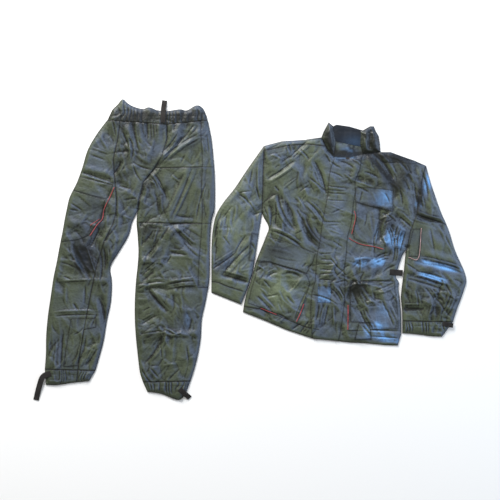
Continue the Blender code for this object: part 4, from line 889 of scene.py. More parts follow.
# Patches of painted light, painted shade and painted blue reflection: half length and half width in
# squares, how blue, and how light or dark.
TROUSER_SHADES = [
    Shade(95, 150, 20, 16, 60, 0.75, 0.05),
    Shade(160, 115, 55, 8, 0, 0.1, -0.35),
    Shade(128, 112, 14, 6, 0, 0.9, 0.1),
    Shade(198, 112, 8, 8, 0, 0.7, 0.0),
    Shade(84, 262, 9, 18, 15, 0.8, -0.4),
    Shade(148, 228, 14, 6, 30, -0.2, -0.35),
    Shade(163, 196, 3, 16, -20, 0.4, -0.4),
    Shade(172, 232, 14, 4, -10, -0.5, -0.35),
    Shade(153, 300, 9, 5, -50, -0.2, -0.3),
    Shade(186, 318, 5, 14, 0, 0.9, -0.1),
    Shade(100, 225, 4, 18, -15, 0.4, -0.3),
    Shade(118, 172, 6, 12, 20, 0.2, -0.3),
    Shade(160, 148, 6, 11, 0, 0.85, 0.25),
    Shade(120, 210, 10, 22, 0, 0.5, 0.0),
    Shade(80, 215, 18, 16, 0, 0.45, 0.0),
    Shade(82, 258, 12, 14, 0, 0.7, -0.25),
    Shade(60, 350, 6, 22, 0, 0.55, -0.1),
    Shade(148, 200, 8, 20, 0, 0.5, 0.05),
    Shade(182, 195, 8, 26, -25, 0.3, 0.05),
    Shade(192, 190, 6, 24, 0, -0.6, 0.0),
    Shade(205, 150, 6, 30, 0, 0.35, 0.1),
    Shade(202, 250, 5, 40, 0, -0.6, 0.15),
    Shade(188, 320, 6, 26, 0, 0.6, 0.05),
    Shade(193, 262, 8, 16, 0, 0.4, 0.1),
    Shade(172, 262, 12, 10, 0, -0.2, 0.15),
    Shade(180, 165, 16, 12, 0, -0.55, 0.1),
    Shade(120, 160, 12, 10, 0, -0.6, -0.05),
    Shade(104, 268, 6, 24, 0, -0.5, -0.2),
    Shade(88, 345, 10, 22, 0, -0.35, 0.05),
    Shade(170, 305, 18, 18, 0, -0.35, 0.05),
    Shade(168, 360, 14, 20, 0, -0.3, 0.05),
    Shade(140, 128, 40, 10, 0, -0.1, -0.15),
    Shade(147, 186, 6, 8, 0, 0.2, -0.45),
    Shade(104, 312, 5, 10, 0, 0.8, -0.3),
    Shade(148, 240, 14, 14, 0, -0.1, -0.15),
    Shade(152, 335, 14, 8, 0, -0.3, -0.25),
    Shade(135, 119, 22, 9, 0, 0.0, -0.42),
    Shade(185, 118, 18, 9, 0, -0.1, -0.48),
    Shade(112, 110, 10, 10, 60, 0.2, -0.15),
    Shade(86, 245, 16, 12, -30, 0.1, -0.32),
    Shade(88, 265, 16, 10, 0, 0.1, -0.36),
    Shade(100, 280, 10, 12, 20, 0.3, -0.15),
    Shade(92, 205, 14, 7, -10, 0.0, -0.26),
    Shade(84, 226, 14, 7, -10, 0.3, -0.26),
    Shade(125, 150, 8, 22, 10, 0.1, -0.18),
    Shade(150, 172, 8, 16, 20, -0.1, -0.22),
    Shade(178, 345, 14, 16, 0, -0.2, 0.1),
    Shade(155, 290, 12, 10, 0, -0.2, 0.1),
]
JACKET_SHADES = [
    Shade(245, 185, 10, 24, 30, 0.45, 0.15),
    Shade(300, 170, 8, 14, 0, 0.55, 0.12),
    Shade(299, 205, 10, 18, 20, 0.65, 0.1),
    Shade(280, 170, 14, 14, 0, -0.3, 0.15),
    Shade(268, 200, 10, 14, 0, -0.45, -0.1),
    Shade(282, 222, 8, 16, 0, 0.25, -0.05),
    Shade(230, 225, 12, 22, 0, -0.25, 0.2),
    Shade(222, 262, 14, 10, 40, 0.6, 0.05),
    Shade(242, 262, 10, 14, 0, -0.5, 0.15),
    Shade(237, 292, 14, 8, -20, -0.4, 0.1),
    Shade(283, 252, 20, 8, -15, 0.1, -0.25),
    Shade(280, 285, 16, 16, 0, -0.35, 0.25),
    Shade(296, 300, 8, 16, 0, 0.3, 0.15),
    Shade(258, 310, 8, 14, 0, 0.5, 0.0),
    Shade(290, 326, 24, 8, -20, 0.35, 0.0),
    Shade(330, 165, 10, 14, 0, 0.7, 0.1),
    Shade(344, 152, 12, 10, 0, 0.9, 0.1),
    Shade(338, 225, 10, 30, 0, 0.3, 0.2),
    Shade(338, 285, 8, 16, 0, 0.7, -0.05),
    Shade(325, 318, 12, 12, 0, 0.1, -0.1),
    Shade(310, 231, 15, 4.5, -65, 0.9, -0.5),
    Shade(348, 154, 13, 7, 0, 0.9, -0.3),
    Shade(280, 290, 20, 16, 0, -0.1, 0.2),
    Shade(238, 225, 20, 30, 0, 0.0, 0.12),
    Shade(236, 270, 16, 18, 0, 0.0, 0.12),
    Shade(356, 291, 9, 9, 0, -0.4, -0.3),
    Shade(365, 205, 26, 8, 0, 0.3, 0.05),
    Shade(419.5, 196, 20, 2.6, 79, 0.0, -0.65),
    Shade(379, 168, 21, 3, -47, 0.0, -0.55),
    Shade(398, 157, 18, 5, -12, 0.1, -0.45),
    Shade(331.5, 148, 11, 2.6, -70, 0.1, -0.6),
    Shade(365, 135, 8, 6, 60, -0.2, -0.4),
    Shade(376, 150, 6, 3, -60, 0.0, -0.5),
    Shade(287, 206, 10, 3, -60, 0.3, -0.35),
    Shade(276, 196, 9, 4, -50, -0.3, -0.3),
    Shade(300, 178, 14, 3, -75, 0.6, -0.15),
    Shade(262, 183, 12, 4, 35, -0.3, -0.15),
    Shade(236, 277, 14, 3.5, -15, -0.4, -0.4),
    Shade(224, 263, 14, 4, 40, 0.6, -0.25),
    Shade(356, 285, 12, 9, 50, -0.3, -0.35),
    Shade(410, 310, 10, 3, 0, -0.2, -0.5),
    Shade(349, 309, 3, 16, 0, -0.3, -0.3),
    Shade(316, 300, 3, 24, 10, -0.1, -0.25),
    Shade(436, 312, 8, 6, 40, 0.3, -0.25),
    Shade(375, 175, 18, 16, 0, 0.4, -0.1),
    Shade(400, 180, 12, 16, 0, 0.4, 0.0),
    Shade(383, 200, 10, 10, 0, 0.7, -0.15),
    Shade(362, 200, 8, 8, 0, -0.1, 0.05),
    Shade(365, 230, 10, 12, 0, 0.1, 0.0),
    Shade(387, 219, 10, 6, 0, -0.1, -0.35),
    Shade(386, 238, 9, 10, 0, 1.7, 0.0),
    Shade(400, 238, 8, 14, 0, 1.7, -0.1),
    Shade(362, 262, 14, 8, 0, 2.0, 0.15),
    Shade(380, 262, 12, 6, 20, 1.7, 0.15),
    Shade(358, 290, 10, 12, 0, -0.5, -0.25),
    Shade(382, 312, 12, 14, 0, 1.0, 0.25),
    Shade(375, 326, 14, 5, 0, 1.4, 0.15),
    Shade(385, 337, 16, 4, 0, 1.3, 0.05),
    Shade(428, 182, 7, 18, -20, 1.9, 0.1),
    Shade(418, 205, 6, 8, 0, 1.5, 0.1),
    Shade(430, 218, 16, 5, -12, 0.2, -0.4),
    Shade(412, 240, 7, 18, 0, 0.5, 0.0),
    Shade(430, 245, 12, 18, 0, 0.25, 0.05),
    Shade(447, 267, 18, 5, -12, 2.2, 0.2),
    Shade(430, 277, 16, 5, -14, 2.1, 0.15),
    Shade(422, 262, 10, 5, 0, 1.5, 0.1),
    Shade(412, 295, 12, 14, 0, -0.1, -0.25),
    Shade(440, 302, 14, 14, 0, 0.2, -0.2),
    Shade(425, 318, 20, 8, 0, -0.1, -0.1),
    Shade(458, 285, 8, 20, 0, 0.2, -0.1),
    Shade(370, 135, 10, 14, 0, 0.5, -0.05),
    Shade(328, 138, 6, 12, 0, 0.4, -0.1),
    Shade(343, 152.5, 14, 2, -3, -0.9, -0.6),
    Shade(328, 134, 5, 13, -15, 0.3, -0.5),
    Shade(332, 146, 4, 9, 20, 0.0, -0.4),
    Shade(372, 140, 9, 14, -10, 0.2, -0.52),
    Shade(352, 155, 20, 6, 0, 0.6, -0.5),
    Shade(390, 158, 22, 6, -10, 0.2, -0.5),
    Shade(405, 176, 8, 18, -20, 0.1, -0.5),
    Shade(388, 178, 6, 16, 35, 0.1, -0.45),
    Shade(419, 200, 5, 22, 0, 0.0, -0.4),
    Shade(370, 180, 10, 5, -35, -0.2, -0.25),
    Shade(272, 254, 13, 8, -12, -0.3, -0.16),
    Shade(300, 262, 9, 9, -20, 0.5, 0.14),
    Shade(283, 268, 26, 3, -14, 0.0, -0.3),
    Shade(278, 295, 18, 16, 0, 0.0, 0.26),
    Shade(298, 305, 6, 14, 20, 0.4, 0.12),
    Shade(378, 333, 20, 4, -4, 1.2, 0.55),
    Shade(390, 341, 16, 3, -4, 1.6, 0.3),
    Shade(364, 338, 10, 4, 0, 0.5, 0.1),
    Shade(362, 199, 6, 8, 0, -0.6, -0.12),
    Shade(385, 196, 7, 9, 0, 0.5, 0.05),
    Shade(372, 206, 22, 2.6, -12, -0.3, -0.45),
    Shade(390, 224, 14, 9, 10, 0.6, -0.2),
    Shade(396, 250, 8, 12, 20, 0.8, -0.1),
    Shade(238, 225, 14, 18, 0, -0.2, 0.1),
    Shade(250, 275, 8, 16, 35, -0.3, 0.12),
    Shade(430, 280, 14, 14, 0, 0.7, 0.0),
    Shade(445, 290, 12, 16, 0, 0.5, 0.0),
]


def smooth(points, steps):
    """A Catmull-Rom curve through the points, with steps intervals between each two."""
    p = np.array(points, float)
    ends = np.vstack([2 * p[0] - p[1], p, 2 * p[-1] - p[-2]])
    out = []
    for i in range(len(p) - 1):
        a, b, c, d = ends[i:i + 4]
        for t in np.arange(steps) / steps:
            out.append(0.5 * (2 * b + (c - a) * t + (2 * a - 5 * b + 4 * c - d) * t**2
                              + (3 * b - a - 3 * c + d) * t**3))
    out.append(p[-1])
    return np.array(out)


def edge(sections, side, first=0, steps=4):
    """The curve through one end of the sections, from section number first on."""
    ends = [(s.left_x, s.left_y) if side == "left" else (s.right_x, s.right_y) for s in sections]
    return smooth(ends, steps)[first * steps:]


def ends_of(sections):
    """The outline of the whole stretch that the sections cover."""
    return list(edge(sections, "left")) + list(edge(sections, "right"))[::-1]


def distance(points, lines):
    """How far each point is from the nearest of the lines."""
    best = np.full(len(points), 1e9)
    for line in lines:
        line = np.array(line, float)
        for a, b in zip(line[:-1], line[1:]):
            run = b - a
            t = np.clip(((points - a) @ run) / max(run @ run, 1e-9), 0, 1)
            away = points - a - t[:, None] * run
            best = np.minimum(best, np.hypot(away[:, 0], away[:, 1]))
    return best


def inside(points, outline):
    """Which of the points lie inside a closed outline."""
    shape = np.array([(q[0], q[1]) for q in outline], float)
    x, y = points[:, 0], points[:, 1]
    odd = np.zeros(len(points), bool)
    for (ax, ay), (bx, by) in zip(shape, np.roll(shape, -1, axis=0)):
        if ay == by:
            continue
        crosses = (ay > y) != (by > y)
        odd ^= crosses & (x < ax + (y - ay) * (bx - ax) / (by - ay))
    return odd


def side_of(seam, toward, margin=0.0):
    """The outline of everything on one side of a seam."""
    seam, toward = np.array(seam, float), np.array(toward, float)
    return list(seam + toward * margin) + list((seam + toward * FAR)[::-1])


def ribbon(line, width):
    """The outline of a strip of even width along a line."""
    p = np.array(line, float)
    runs = np.diff(p, axis=0)
    runs /= np.linalg.norm(runs, axis=1)[:, None]
    normals = np.column_stack([-runs[:, 1], runs[:, 0]])
    mean = np.vstack([normals[:1], normals[:-1] + normals[1:], normals[-1:]])
    mean /= np.linalg.norm(mean, axis=1)[:, None]
    shift = mean * 0.5 * width
    return list(p + shift) + list((p - shift)[::-1])


def resampled(line, step, close=False):
    """A line with extra points, so that no stretch is longer than step."""
    p = [np.array((q[0], q[1]), float) for q in line]
    if close:
        p.append(p[0])
    out = [p[0]]
    for a, b in zip(p[:-1], p[1:]):
        count = max(1, math.ceil(np.linalg.norm(b - a) / step - 0.2))
        out += [a + (b - a) * k / count for k in range(1, count + 1)]
    return np.array(out)


def fold_height(points, fold):
    """A soft ridge or trough along a line, fading out at both ends, as in the solids."""
    a = np.array([fold.from_x, fold.from_y], float)
    run = np.array([fold.to_x, fold.to_y], float) - a
    length = float(np.linalg.norm(run))
    axis = run / length
    offset = points - a
    t = offset @ axis
    across = np.abs(offset @ np.array([-axis[1], axis[0]]))
    fade = min(2.0 * fold.half_width, 0.5 * length)
    ends = np.clip(np.minimum(t + 0.5 * fade, length + 0.5 * fade - t) / fade, 0, 1)
    side = np.clip(across / (1.6 * fold.half_width), 0, 1)
    return fold.height * (ends * ends * (3 - 2 * ends)) * np.cos(0.5 * math.pi * side) ** 2


def add_crease(z, points, x, y, turn, length, half_width, height, bend, skew, sharp=0.75):
    """Adds a bent crease with a crisp crest to the heights, round its middle (x, y)."""
    reach = 0.5 * length + half_width + abs(bend)
    near = np.nonzero((np.abs(points[:, 0] - x) < reach) & (np.abs(points[:, 1] - y) < reach))[0]
    if not len(near):
        return
    dx, dy = points[near, 0] - x, points[near, 1] - y
    u = (dx * math.cos(turn) + dy * math.sin(turn)) / (0.5 * length)
    v = -dx * math.sin(turn) + dy * math.cos(turn)
    v -= bend * (1 - u * u)
    t = np.abs(v) / (half_width * (1 + skew * np.sign(v)))
    t = np.clip(t, 0, 1)
    ends = np.clip((1 - np.abs(u)) * 1.8, 0, 1)
    crisp = (1 - t) ** 1.7
    soft = np.cos(0.5 * math.pi * t) ** 2
    z[near] += height * ends * (sharp * crisp + (1 - sharp) * soft)


def hashed(ix, iy, seed):
    """Two even random numbers for each cell of a grid."""
    n = (ix.astype(np.int64) * 374761393 + iy.astype(np.int64) * 668265263 + seed * 974634777)
    n = (n ^ (n >> 13)) * 1274126177
    n = n ^ (n >> 16)
    return (n & 0xFFFF) / 65535.0, ((n >> 16) & 0xFFFF) / 65535.0


def value_noise(points, size, seed):
    """Smooth noise from -1 to 1 with bumps about as large as size."""
    p = points / size
    cell = np.floor(p)
    f = p - cell
    f = f * f * (3 - 2 * f)
    corner = [hashed(cell[:, 0] + i, cell[:, 1] + j, seed)[0] for j in (0, 1) for i in (0, 1)]
    low = corner[0] + (corner[1] - corner[0]) * f[:, 0]
    high = corner[2] + (corner[3] - corner[2]) * f[:, 0]
    return 2 * (low + (high - low) * f[:, 1]) - 1


def crumple(points, size, seed):
    """Facets that meet in crisp ridges, as in crushed cloth, from 0 to about 1."""
    p = points / size
    cell = np.floor(p)
    best = np.full(len(p), 9.0)
    for i in (-1, 0, 1):
        for j in (-1, 0, 1):
            at = cell + (i, j)
            jx, jy = hashed(at[:, 0], at[:, 1], seed)
            away = np.hypot(at[:, 0] + jx - p[:, 0], at[:, 1] + jy - p[:, 1])
            best = np.minimum(best, away)
    return np.minimum(best, 1.1) / 1.1


def facets(points, size, slope, seed):
    """Flat facets that each lean their own way, and meet at the same height."""
    p = points / size
    cell = np.floor(p)
    nearest, second = np.full(len(p), 9.0), np.full(len(p), 9.0)
    rise = np.zeros(len(p))
    for i in (-1, 0, 1):
        for j in (-1, 0, 1):
            at = cell + (i, j)
            jx, jy = hashed(at[:, 0], at[:, 1], seed)
            turn = 2 * math.pi * hashed(at[:, 0], at[:, 1], seed + 50)[0]
            dx, dy = p[:, 0] - at[:, 0] - jx, p[:, 1] - at[:, 1] - jy
            away = np.hypot(dx, dy)
            closer = away < nearest
            second = np.where(closer, nearest, np.minimum(second, away))
            rise = np.where(closer, dx * np.cos(turn) + dy * np.sin(turn), rise)
            nearest = np.minimum(nearest, away)
    return size * slope * rise * np.clip((second - nearest) / 0.22, 0, 1)


class Cloth:
    """One garment's cloth: how high its top lies over each place."""

    def __init__(self, place, rims, folds, creases, grains, calm, seams, seed, strewn):
        self.place = np.array(place)
        self.rims = rims
        self.folds = folds
        self.creases = creases
        self.grains = grains
        self.calm = calm
        self.seams = seams
        self.seed = seed
        self.strewn = self.strew(strewn)

    def strew(self, kinds):
        """Creases of the given kinds (size, share, height) all over, along the grains."""
        ends = np.vstack([np.array([(q[0], q[1]) for q in line], float) for line in self.rims])
        low, high = ends.min(axis=0), ends.max(axis=0)
        rng = np.random.default_rng(self.seed)
        made = []
        for size, share, tall in kinds:
            count = int(share * (high[0] - low[0]) * (high[1] - low[1]) / (size * size))
            places = rng.uniform(low, high, (count, 2))
            turns, spread, strength = self.direction(places)
            turns = turns + rng.normal(0, 1, count) * spread
            lengths = size * rng.lognormal(0, 0.45, count) * 1.5
            widths = size * rng.uniform(0.16, 0.34, count)
            heights = tall * strength * rng.choice([-1, 1, 1], count) * rng.uniform(0.4, 1.2, count)
            bends = lengths * rng.normal(0, 0.10, count)
            skews = rng.uniform(-0.4, 0.4, count)
            made += list(zip(places[:, 0], places[:, 1], turns, lengths, widths, heights, bends,
                             skews))
        return made

    def from_squares(self, x, y):
        """A place in the photo's squares, in this garment's frame."""
        return (x - 250) * SQUARE - 0.4 - self.place[0], (250 - y) * SQUARE - self.place[1]

    def direction(self, points):
        """The way that small creases run at each point, how much it varies, and how strong."""
        weight = np.full(len(points), 1e-9)
        c, s = np.zeros(len(points)), np.zeros(len(points))
        spread, strength = np.zeros(len(points)), np.zeros(len(points))
        for g in self.grains:
            x, y = self.from_squares(g.x, g.y)
            reach = g.reach * SQUARE
            w = np.exp(-((points[:, 0] - x) ** 2 + (points[:, 1] - y) ** 2) / (reach * reach))
            turn = math.radians(g.turn)
            weight += w
            c += w * math.cos(2 * turn)
            s += w * math.sin(2 * turn)
            spread += w * math.radians(g.spread)
            strength += w * g.strength
        return 0.5 * np.arctan2(s, c), spread / weight, strength / weight

    def base(self, points):
        """The solids' own form, and the room there is for creases at each point."""
        gap = distance(points, self.rims)
        near, far = np.clip(gap / EDGE_WIDTH, 0, 1), np.clip(gap / SWELL_WIDTH, 0, 1)
        height = EDGE_RISE * (2 * near - near**2) + SWELL * (2 * far - far**2)
        wave = 0.75 * sum((fold_height(points, f) for f in self.folds), np.zeros(len(points)))
        return height, wave, near

    def small(self, points):
        """The crisp creases, listed and strewn, and the facets between them."""
        z = np.zeros(len(points))
        for k in self.creases:
            ax, ay = self.from_squares(k.x1, k.y1)
            bx, by = self.from_squares(k.x2, k.y2)
            length = math.hypot(bx - ax, by - ay) * 1.15
            add_crease(z, points, (ax + bx) / 2, (ay + by) / 2, math.atan2(by - ay, bx - ax),
                       length, k.half_width * SQUARE, k.height, k.bend * SQUARE, 0.0, 0.6)
        fine = np.zeros(len(points))
        for x, y, turn, length, width, height, bend, skew in self.strewn:
            add_crease(fine, points, x, y, turn, length, width, height, bend, skew, 0.85)
        warp = np.column_stack([value_noise(points, 24, self.seed + 1),
                                value_noise(points, 24, self.seed + 2)]) * 7
        _, _, strength = self.direction(points)
        bent = points + warp
        fine += strength * (2.0 * crumple(bent, 62, self.seed + 3)
                            - 1.9 * crumple(bent, 43, self.seed + 5)
                            + 0.5 * crumple(bent, 21, self.seed + 4) - 0.3
                            + facets(bent, 90, 0.045, self.seed + 8))
        for c in self.calm:
            x, y = self.from_squares(c.x, c.y)
            turn = math.radians(c.turn)
            dx, dy = (points[:, 0] - x) / SQUARE, (points[:, 1] - y) / SQUARE
            u = (dx * math.cos(turn) + dy * math.sin(turn)) / c.half_length
            v = (-dx * math.sin(turn) + dy * math.cos(turn)) / c.half_width
            fine *= 1 - (1 - c.light) * np.exp(-(u * u + v * v) ** 2)
        return z, fine

    def dip(self, points):
        """How far the seams draw the cloth in."""
        if not self.seams:
            return np.zeros(len(points))
        return 1.1 * np.clip(1 - distance(points, self.seams) / 3.6, 0, 1)

    def top(self, points, gathers=None):
        points = np.asarray(points, float)
        height, wave, near = self.base(points)
        crisp, fine = self.small(points)
        relief = wave + crisp + fine * (0.35 + 0.65 * near)
        if gathers is not None:
            relief = relief * 0.5 + gathers(points)
        z = RIM + np.maximum(height + relief * (0.15 + 0.85 * near), 0.10 * height + 0.1 * near)
        return np.maximum(z, RIM - 0.3)


class Region:
    """A stretch of cloth as a fine mesh seen from above. Its pieces share its points."""

    def __init__(self, cloth, outline, lines, keep=(), spacing=SPACING, gathers=None):
        self.cloth = cloth
        closed = resampled(outline, spacing, True)
        kept_lines = [closed] + [resampled(line, spacing) for line in lines]
        low, high = closed.min(axis=0), closed.max(axis=0)
        coords, edges = [], []
        for line in kept_lines:
            within = (line >= low - 30).all(axis=1) & (line <= high + 30).all(axis=1)
            for k, q in enumerate(line):
                coords.append(q)
                if k and within[k] and within[k - 1]:
                    edges.append((len(coords) - 2, len(coords) - 1))
        tree = KDTree(len(coords))
        for k, q in enumerate(coords):
            tree.insert((q[0], q[1], 0), k)
        tree.balance()
        rng = np.random.default_rng(cloth.seed + 7)
        rows = np.arange(low[1], high[1], spacing * 0.866)
        cols = np.arange(low[0], high[0], spacing)
        grid = np.array([(x + (0.5 * spacing if i % 2 else 0), y)
                         for i, y in enumerate(rows) for x in cols])
        grid += rng.uniform(-0.16, 0.16, grid.shape) * spacing
        grid = grid[inside(grid, closed)]
        clear = [tree.find((q[0], q[1], 0))[2] > 0.55 * spacing for q in grid]
        coords += list(grid[np.array(clear)])
        verts, _, faces, _, _, _ = delaunay_2d_cdt([Vector(q) for q in coords], edges, [], 0,
                                                   0.02, False)
        self.flat = np.array([(v.x, v.y) for v in verts])
        triangles = np.array(faces, int)
        middles = self.flat[triangles].mean(axis=1)
        good = inside(middles, closed)
        for area in keep:
            good &= inside(middles, area)
        self.triangles = triangles[good]
        self.middles = middles[good]
        used = np.unique(self.triangles)
        place = np.full(len(self.flat), -1)
        place[used] = np.arange(len(used))
        self.flat = self.flat[used]
        self.triangles = place[self.triangles]
        a, b, c = (self.flat[self.triangles[:, k]] for k in range(3))
        turned = (b[:, 0] - a[:, 0]) * (c[:, 1] - a[:, 1]) - (b[:, 1] - a[:, 1]) * (c[:, 0] - a[:, 0])
        flip = turned < 0
        self.triangles[flip] = self.triangles[flip][:, [0, 2, 1]]
        self.triangles = self.triangles[np.abs(turned) > 1e-4]
        self.middles = self.middles[np.abs(turned) > 1e-4]
        self.gathers = gathers
        self.plain = cloth.top(self.flat, gathers)
        self.z = np.maximum(self.plain - cloth.dip(self.flat), RIM - 0.6)
        self.facing, self.hollow = self.form()

    def form(self):
        """The level part of each point's normal, and how deep in a crease it lies."""
        p = np.column_stack([self.flat, self.z])
        a, b, c = (self.triangles[:, k] for k in range(3))
        faces = np.cross(p[b] - p[a], p[c] - p[a])
        normals = np.zeros_like(p)
        around, count = np.zeros(len(p)), np.zeros(len(p))
        for i, j, k in ((a, b, c), (b, c, a), (c, a, b)):
            np.add.at(normals, i, faces)
            np.add.at(around, i, self.z[j] + self.z[k])
            np.add.at(count, i, 2)
        normals /= np.linalg.norm(normals, axis=1)[:, None]
        near = around / count
        wide, share = np.zeros(len(p)), np.zeros(len(p))
        for i, j, k in ((a, b, c), (b, c, a), (c, a, b)):
            np.add.at(wide, i, near[j] + near[k])
            np.add.at(share, i, 2)
        return normals[:, :2], 0.5 * (near + wide / share) - self.z

    def within(self, *areas):
        chosen = np.ones(len(self.triangles), bool)
        for area in areas:
            chosen &= inside(self.middles, area)
        return chosen


OLIVE = np.array([0.062, 0.077, 0.047])
SLATE = np.array([0.057, 0.075, 0.107])
# the painted blue reflection of the blue window light
PAINTED_BLUE_REFLECTION = np.array([0.088, 0.205, 0.410])
# the lining's own dark colour, darkened further by painted shade inside the collar
LINING_WITH_PAINTED_SHADE = np.array([0.008, 0.011, 0.017])


def tint(cloth, shades, points, mean, facing, hollow, lines):
    """The cloth's colour over each point, with painted light in it. Facets that lean apart
    differ in hue and are painted lighter or darker, creases get painted shade, the seams a dark
    line and the edges along the lines a painted shadow, and the tables give the larger patches of
    painted light, painted shade and painted blue reflection."""
    blue = np.full(len(points), mean)
    light = np.zeros(len(points))
    for s in shades:
        x, y = cloth.from_squares(s.x, s.y)
        turn = math.radians(s.turn)
        dx, dy = (points[:, 0] - x) / SQUARE, (points[:, 1] - y) / SQUARE
        u = (dx * math.cos(turn) + dy * math.sin(turn)) / s.half_length
        v = (-dx * math.sin(turn) + dy * math.cos(turn)) / s.half_width
        share = np.exp(-1.2 * (u * u + v * v))
        blue += s.blue * share
        light += s.light * share
    # lean: how far each facet faces towards the right and the top; it paints light, shade and blue
    # reflection onto the facets
    lean = facing @ np.array([0.75, 0.45])
    mottle = value_noise(points, 48, cloth.seed + 11)
    pale = 0.6 * value_noise(points, 34, cloth.seed + 13) + 0.4 * value_noise(
        points, 13, cloth.seed + 14)
    # hue: olive to slate by the tables' blue, random mottling and the facets' lean, partly a painted
    # blue reflection
    hue = 0.36 + 0.55 * blue + 0.35 * mottle + 2.8 * np.clip(lean, -0.3, 0.3)
    toward_slate = np.clip(hue, 0, 1)[:, None]
    # glint: where the painted blue reflection shows, by the tables' blue and the way each facet leans
    glint = 0.75 + 3.2 * np.clip(lean, -0.25, 0.3) + 0.35 * pale
    painted_reflection_share = np.clip((blue - 0.85) / 1.5, 0, 1) * np.clip(glint, 0.05, 1.6)
    colour = OLIVE + (SLATE - OLIVE) * toward_slate
    colour = colour + (PAINTED_BLUE_REFLECTION - colour) * np.clip(painted_reflection_share, 0, 1)[:, None]
    # painted light and shade: the tables' patches, facets lighter or darker by their lean, and
    # painted shade in the creases, with tone that differs at random
    painted_light_and_tone = (1 + 1.5 * light + 0.22 * pale + 0.9 * np.clip(lean, -0.2, 0.2)
            - 0.65 * np.clip(hollow / 0.32, -0.25, 1.2))
    # painted shadow along the edges of the pieces laid on top, and a dark line along the seams
    if lines:
        painted_light_and_tone = painted_light_and_tone * (1 - 0.7 * np.exp(-(distance(points, lines) / 3.4) ** 2))
    return colour * np.clip(painted_light_and_tone, 0.12, 2)[:, None]


def new_mesh(name, points, triangles, look, colours=None, sharp=50):
    """An object made of triangles, its points in millimetres in the row's frame."""
    mesh = bpy.data.meshes.new(name)
    points = np.asarray(points, float) * 0.001
    triangles = np.asarray(triangles, int)
    mesh.vertices.add(len(points))
    mesh.vertices.foreach_set("co", points.ravel())
    mesh.loops.add(triangles.size)
    mesh.loops.foreach_set("vertex_index", triangles.ravel())
    mesh.polygons.add(len(triangles))
    mesh.polygons.foreach_set("loop_start", np.arange(len(triangles)) * 3)
    mesh.update(calc_edges=True)
    mesh.validate()
    mesh.shade_smooth()
    mesh.set_sharp_from_angle(angle=math.radians(sharp))
    if colours is not None:
        layer = mesh.attributes.new("shade", "FLOAT_COLOR", "POINT")
        layer.data.foreach_set("color", np.column_stack([colours, np.ones(len(colours))]).ravel())
    mesh.materials.append(look)
    obj = bpy.data.objects.new(name, mesh)
    bpy.context.scene.collection.objects.link(obj)
    return obj


def rim_edges(triangles, count):
    """The directed edges that only one triangle has."""
    a = triangles[:, [0, 1, 2]].ravel()
    b = triangles[:, [1, 2, 0]].ravel()
    lone = ~np.isin(a.astype(np.int64) * count + b, b.astype(np.int64) * count + a)
    return a[lone], b[lone]


def shell(points, top, bottom, triangles):
    """Points and triangles of a closed shell between two heights over the same places."""
    count = len(points)
    verts = np.concatenate([np.column_stack([points, top]), np.column_stack([points, bottom])])
    a, b = rim_edges(triangles, count)
    faces = [triangles, triangles[:, [0, 2, 1]] + count,
             np.column_stack([b, a, a + count]), np.column_stack([b, a + count, b + count])]
    return verts, np.concatenate(faces)


class Maker:
    """Makes one garment's pieces, each standing for its node."""

    def __init__(self, cloth, shades, looks, outlines=(), tone=1.0):
        self.cloth = cloth
        self.shades = shades
        self.looks = looks
        self.outlines = list(outlines)
        self.tone = tone
        self.offset = np.array([cloth.place[0], cloth.place[1], 0.0])

    def piece(self, name, region, areas, slot, mean=0.0, level=None, thick=CLOTH,
              look=None):
        chosen = region.within(*areas) if areas else np.ones(len(region.triangles), bool)
        used, inverse = np.unique(region.triangles[chosen], return_inverse=True)
        triangles = inverse.reshape(-1, 3)
        flat, z, plain = region.flat[used], region.z[used], region.plain[used]
        a, b = rim_edges(triangles, len(flat))
        rim = np.zeros(len(flat), bool)
        rim[a] = rim[b] = True
        if level is None:
            top = z
            bottom = np.maximum(top - thick, UNDER)
            top = np.maximum(top, bottom + 0.8)
        else:
            bottom = plain + GAP + level * (CLOTH + GAP)
            top = bottom + thick + np.where(rim, -0.45 * thick, 0.0)
        verts, faces = shell(flat, top, bottom, triangles)
        # the seams and the outlines of the pieces laid on top, along which the colour gets a dark
        # line and a painted shadow
        lines = self.cloth.seams + self.outlines if level is None else []
        colours = tint(self.cloth, self.shades, flat, mean, region.facing[used],
                       region.hollow[used], lines)
        colours = colours * self.tone
        # painted shade: each piece's rim is painted darker, and its underside too, so its side walls
        # are darker than its top
        colours[rim] *= 0.4
        obj = new_mesh(name + "_cloth", verts + self.offset, faces,
                       look or self.looks[slot], np.concatenate([colours, colours * 0.7]))
        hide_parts(name)
        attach(obj, "root")
        return obj

    def back(self, name, region, areas, slot="nylon", mean=0.0):
        """A panel underneath, flat on the surface, with faint creases in its underside."""
        chosen = region.within(*areas) if areas else np.ones(len(region.triangles), bool)
        used, inverse = np.unique(region.triangles[chosen], return_inverse=True)
        triangles = inverse.reshape(-1, 3)
        flat = region.flat[used]
        _, fine = self.cloth.small(flat)
        crisp = np.clip(0.25 * np.abs(fine), 0, 0.6)
        a, b = rim_edges(triangles, len(flat))
        crisp[a] = crisp[b] = 0
        verts, faces = shell(flat, np.full(len(flat), BACK_TOP), crisp, triangles)
        colours = tint(self.cloth, self.shades, flat, mean, region.facing[used],
                       region.hollow[used], [])
        obj = new_mesh(name + "_cloth", verts + self.offset, faces, self.looks[slot],
                       np.concatenate([colours, colours]))
        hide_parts(name)
        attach(obj, "root")
        return obj

    def heights(self, points, gathers=None):
        return self.cloth.top(points, gathers)


def arc_lengths(line):
    return np.concatenate([[0], np.cumsum(np.linalg.norm(np.diff(line, axis=0), axis=1))])


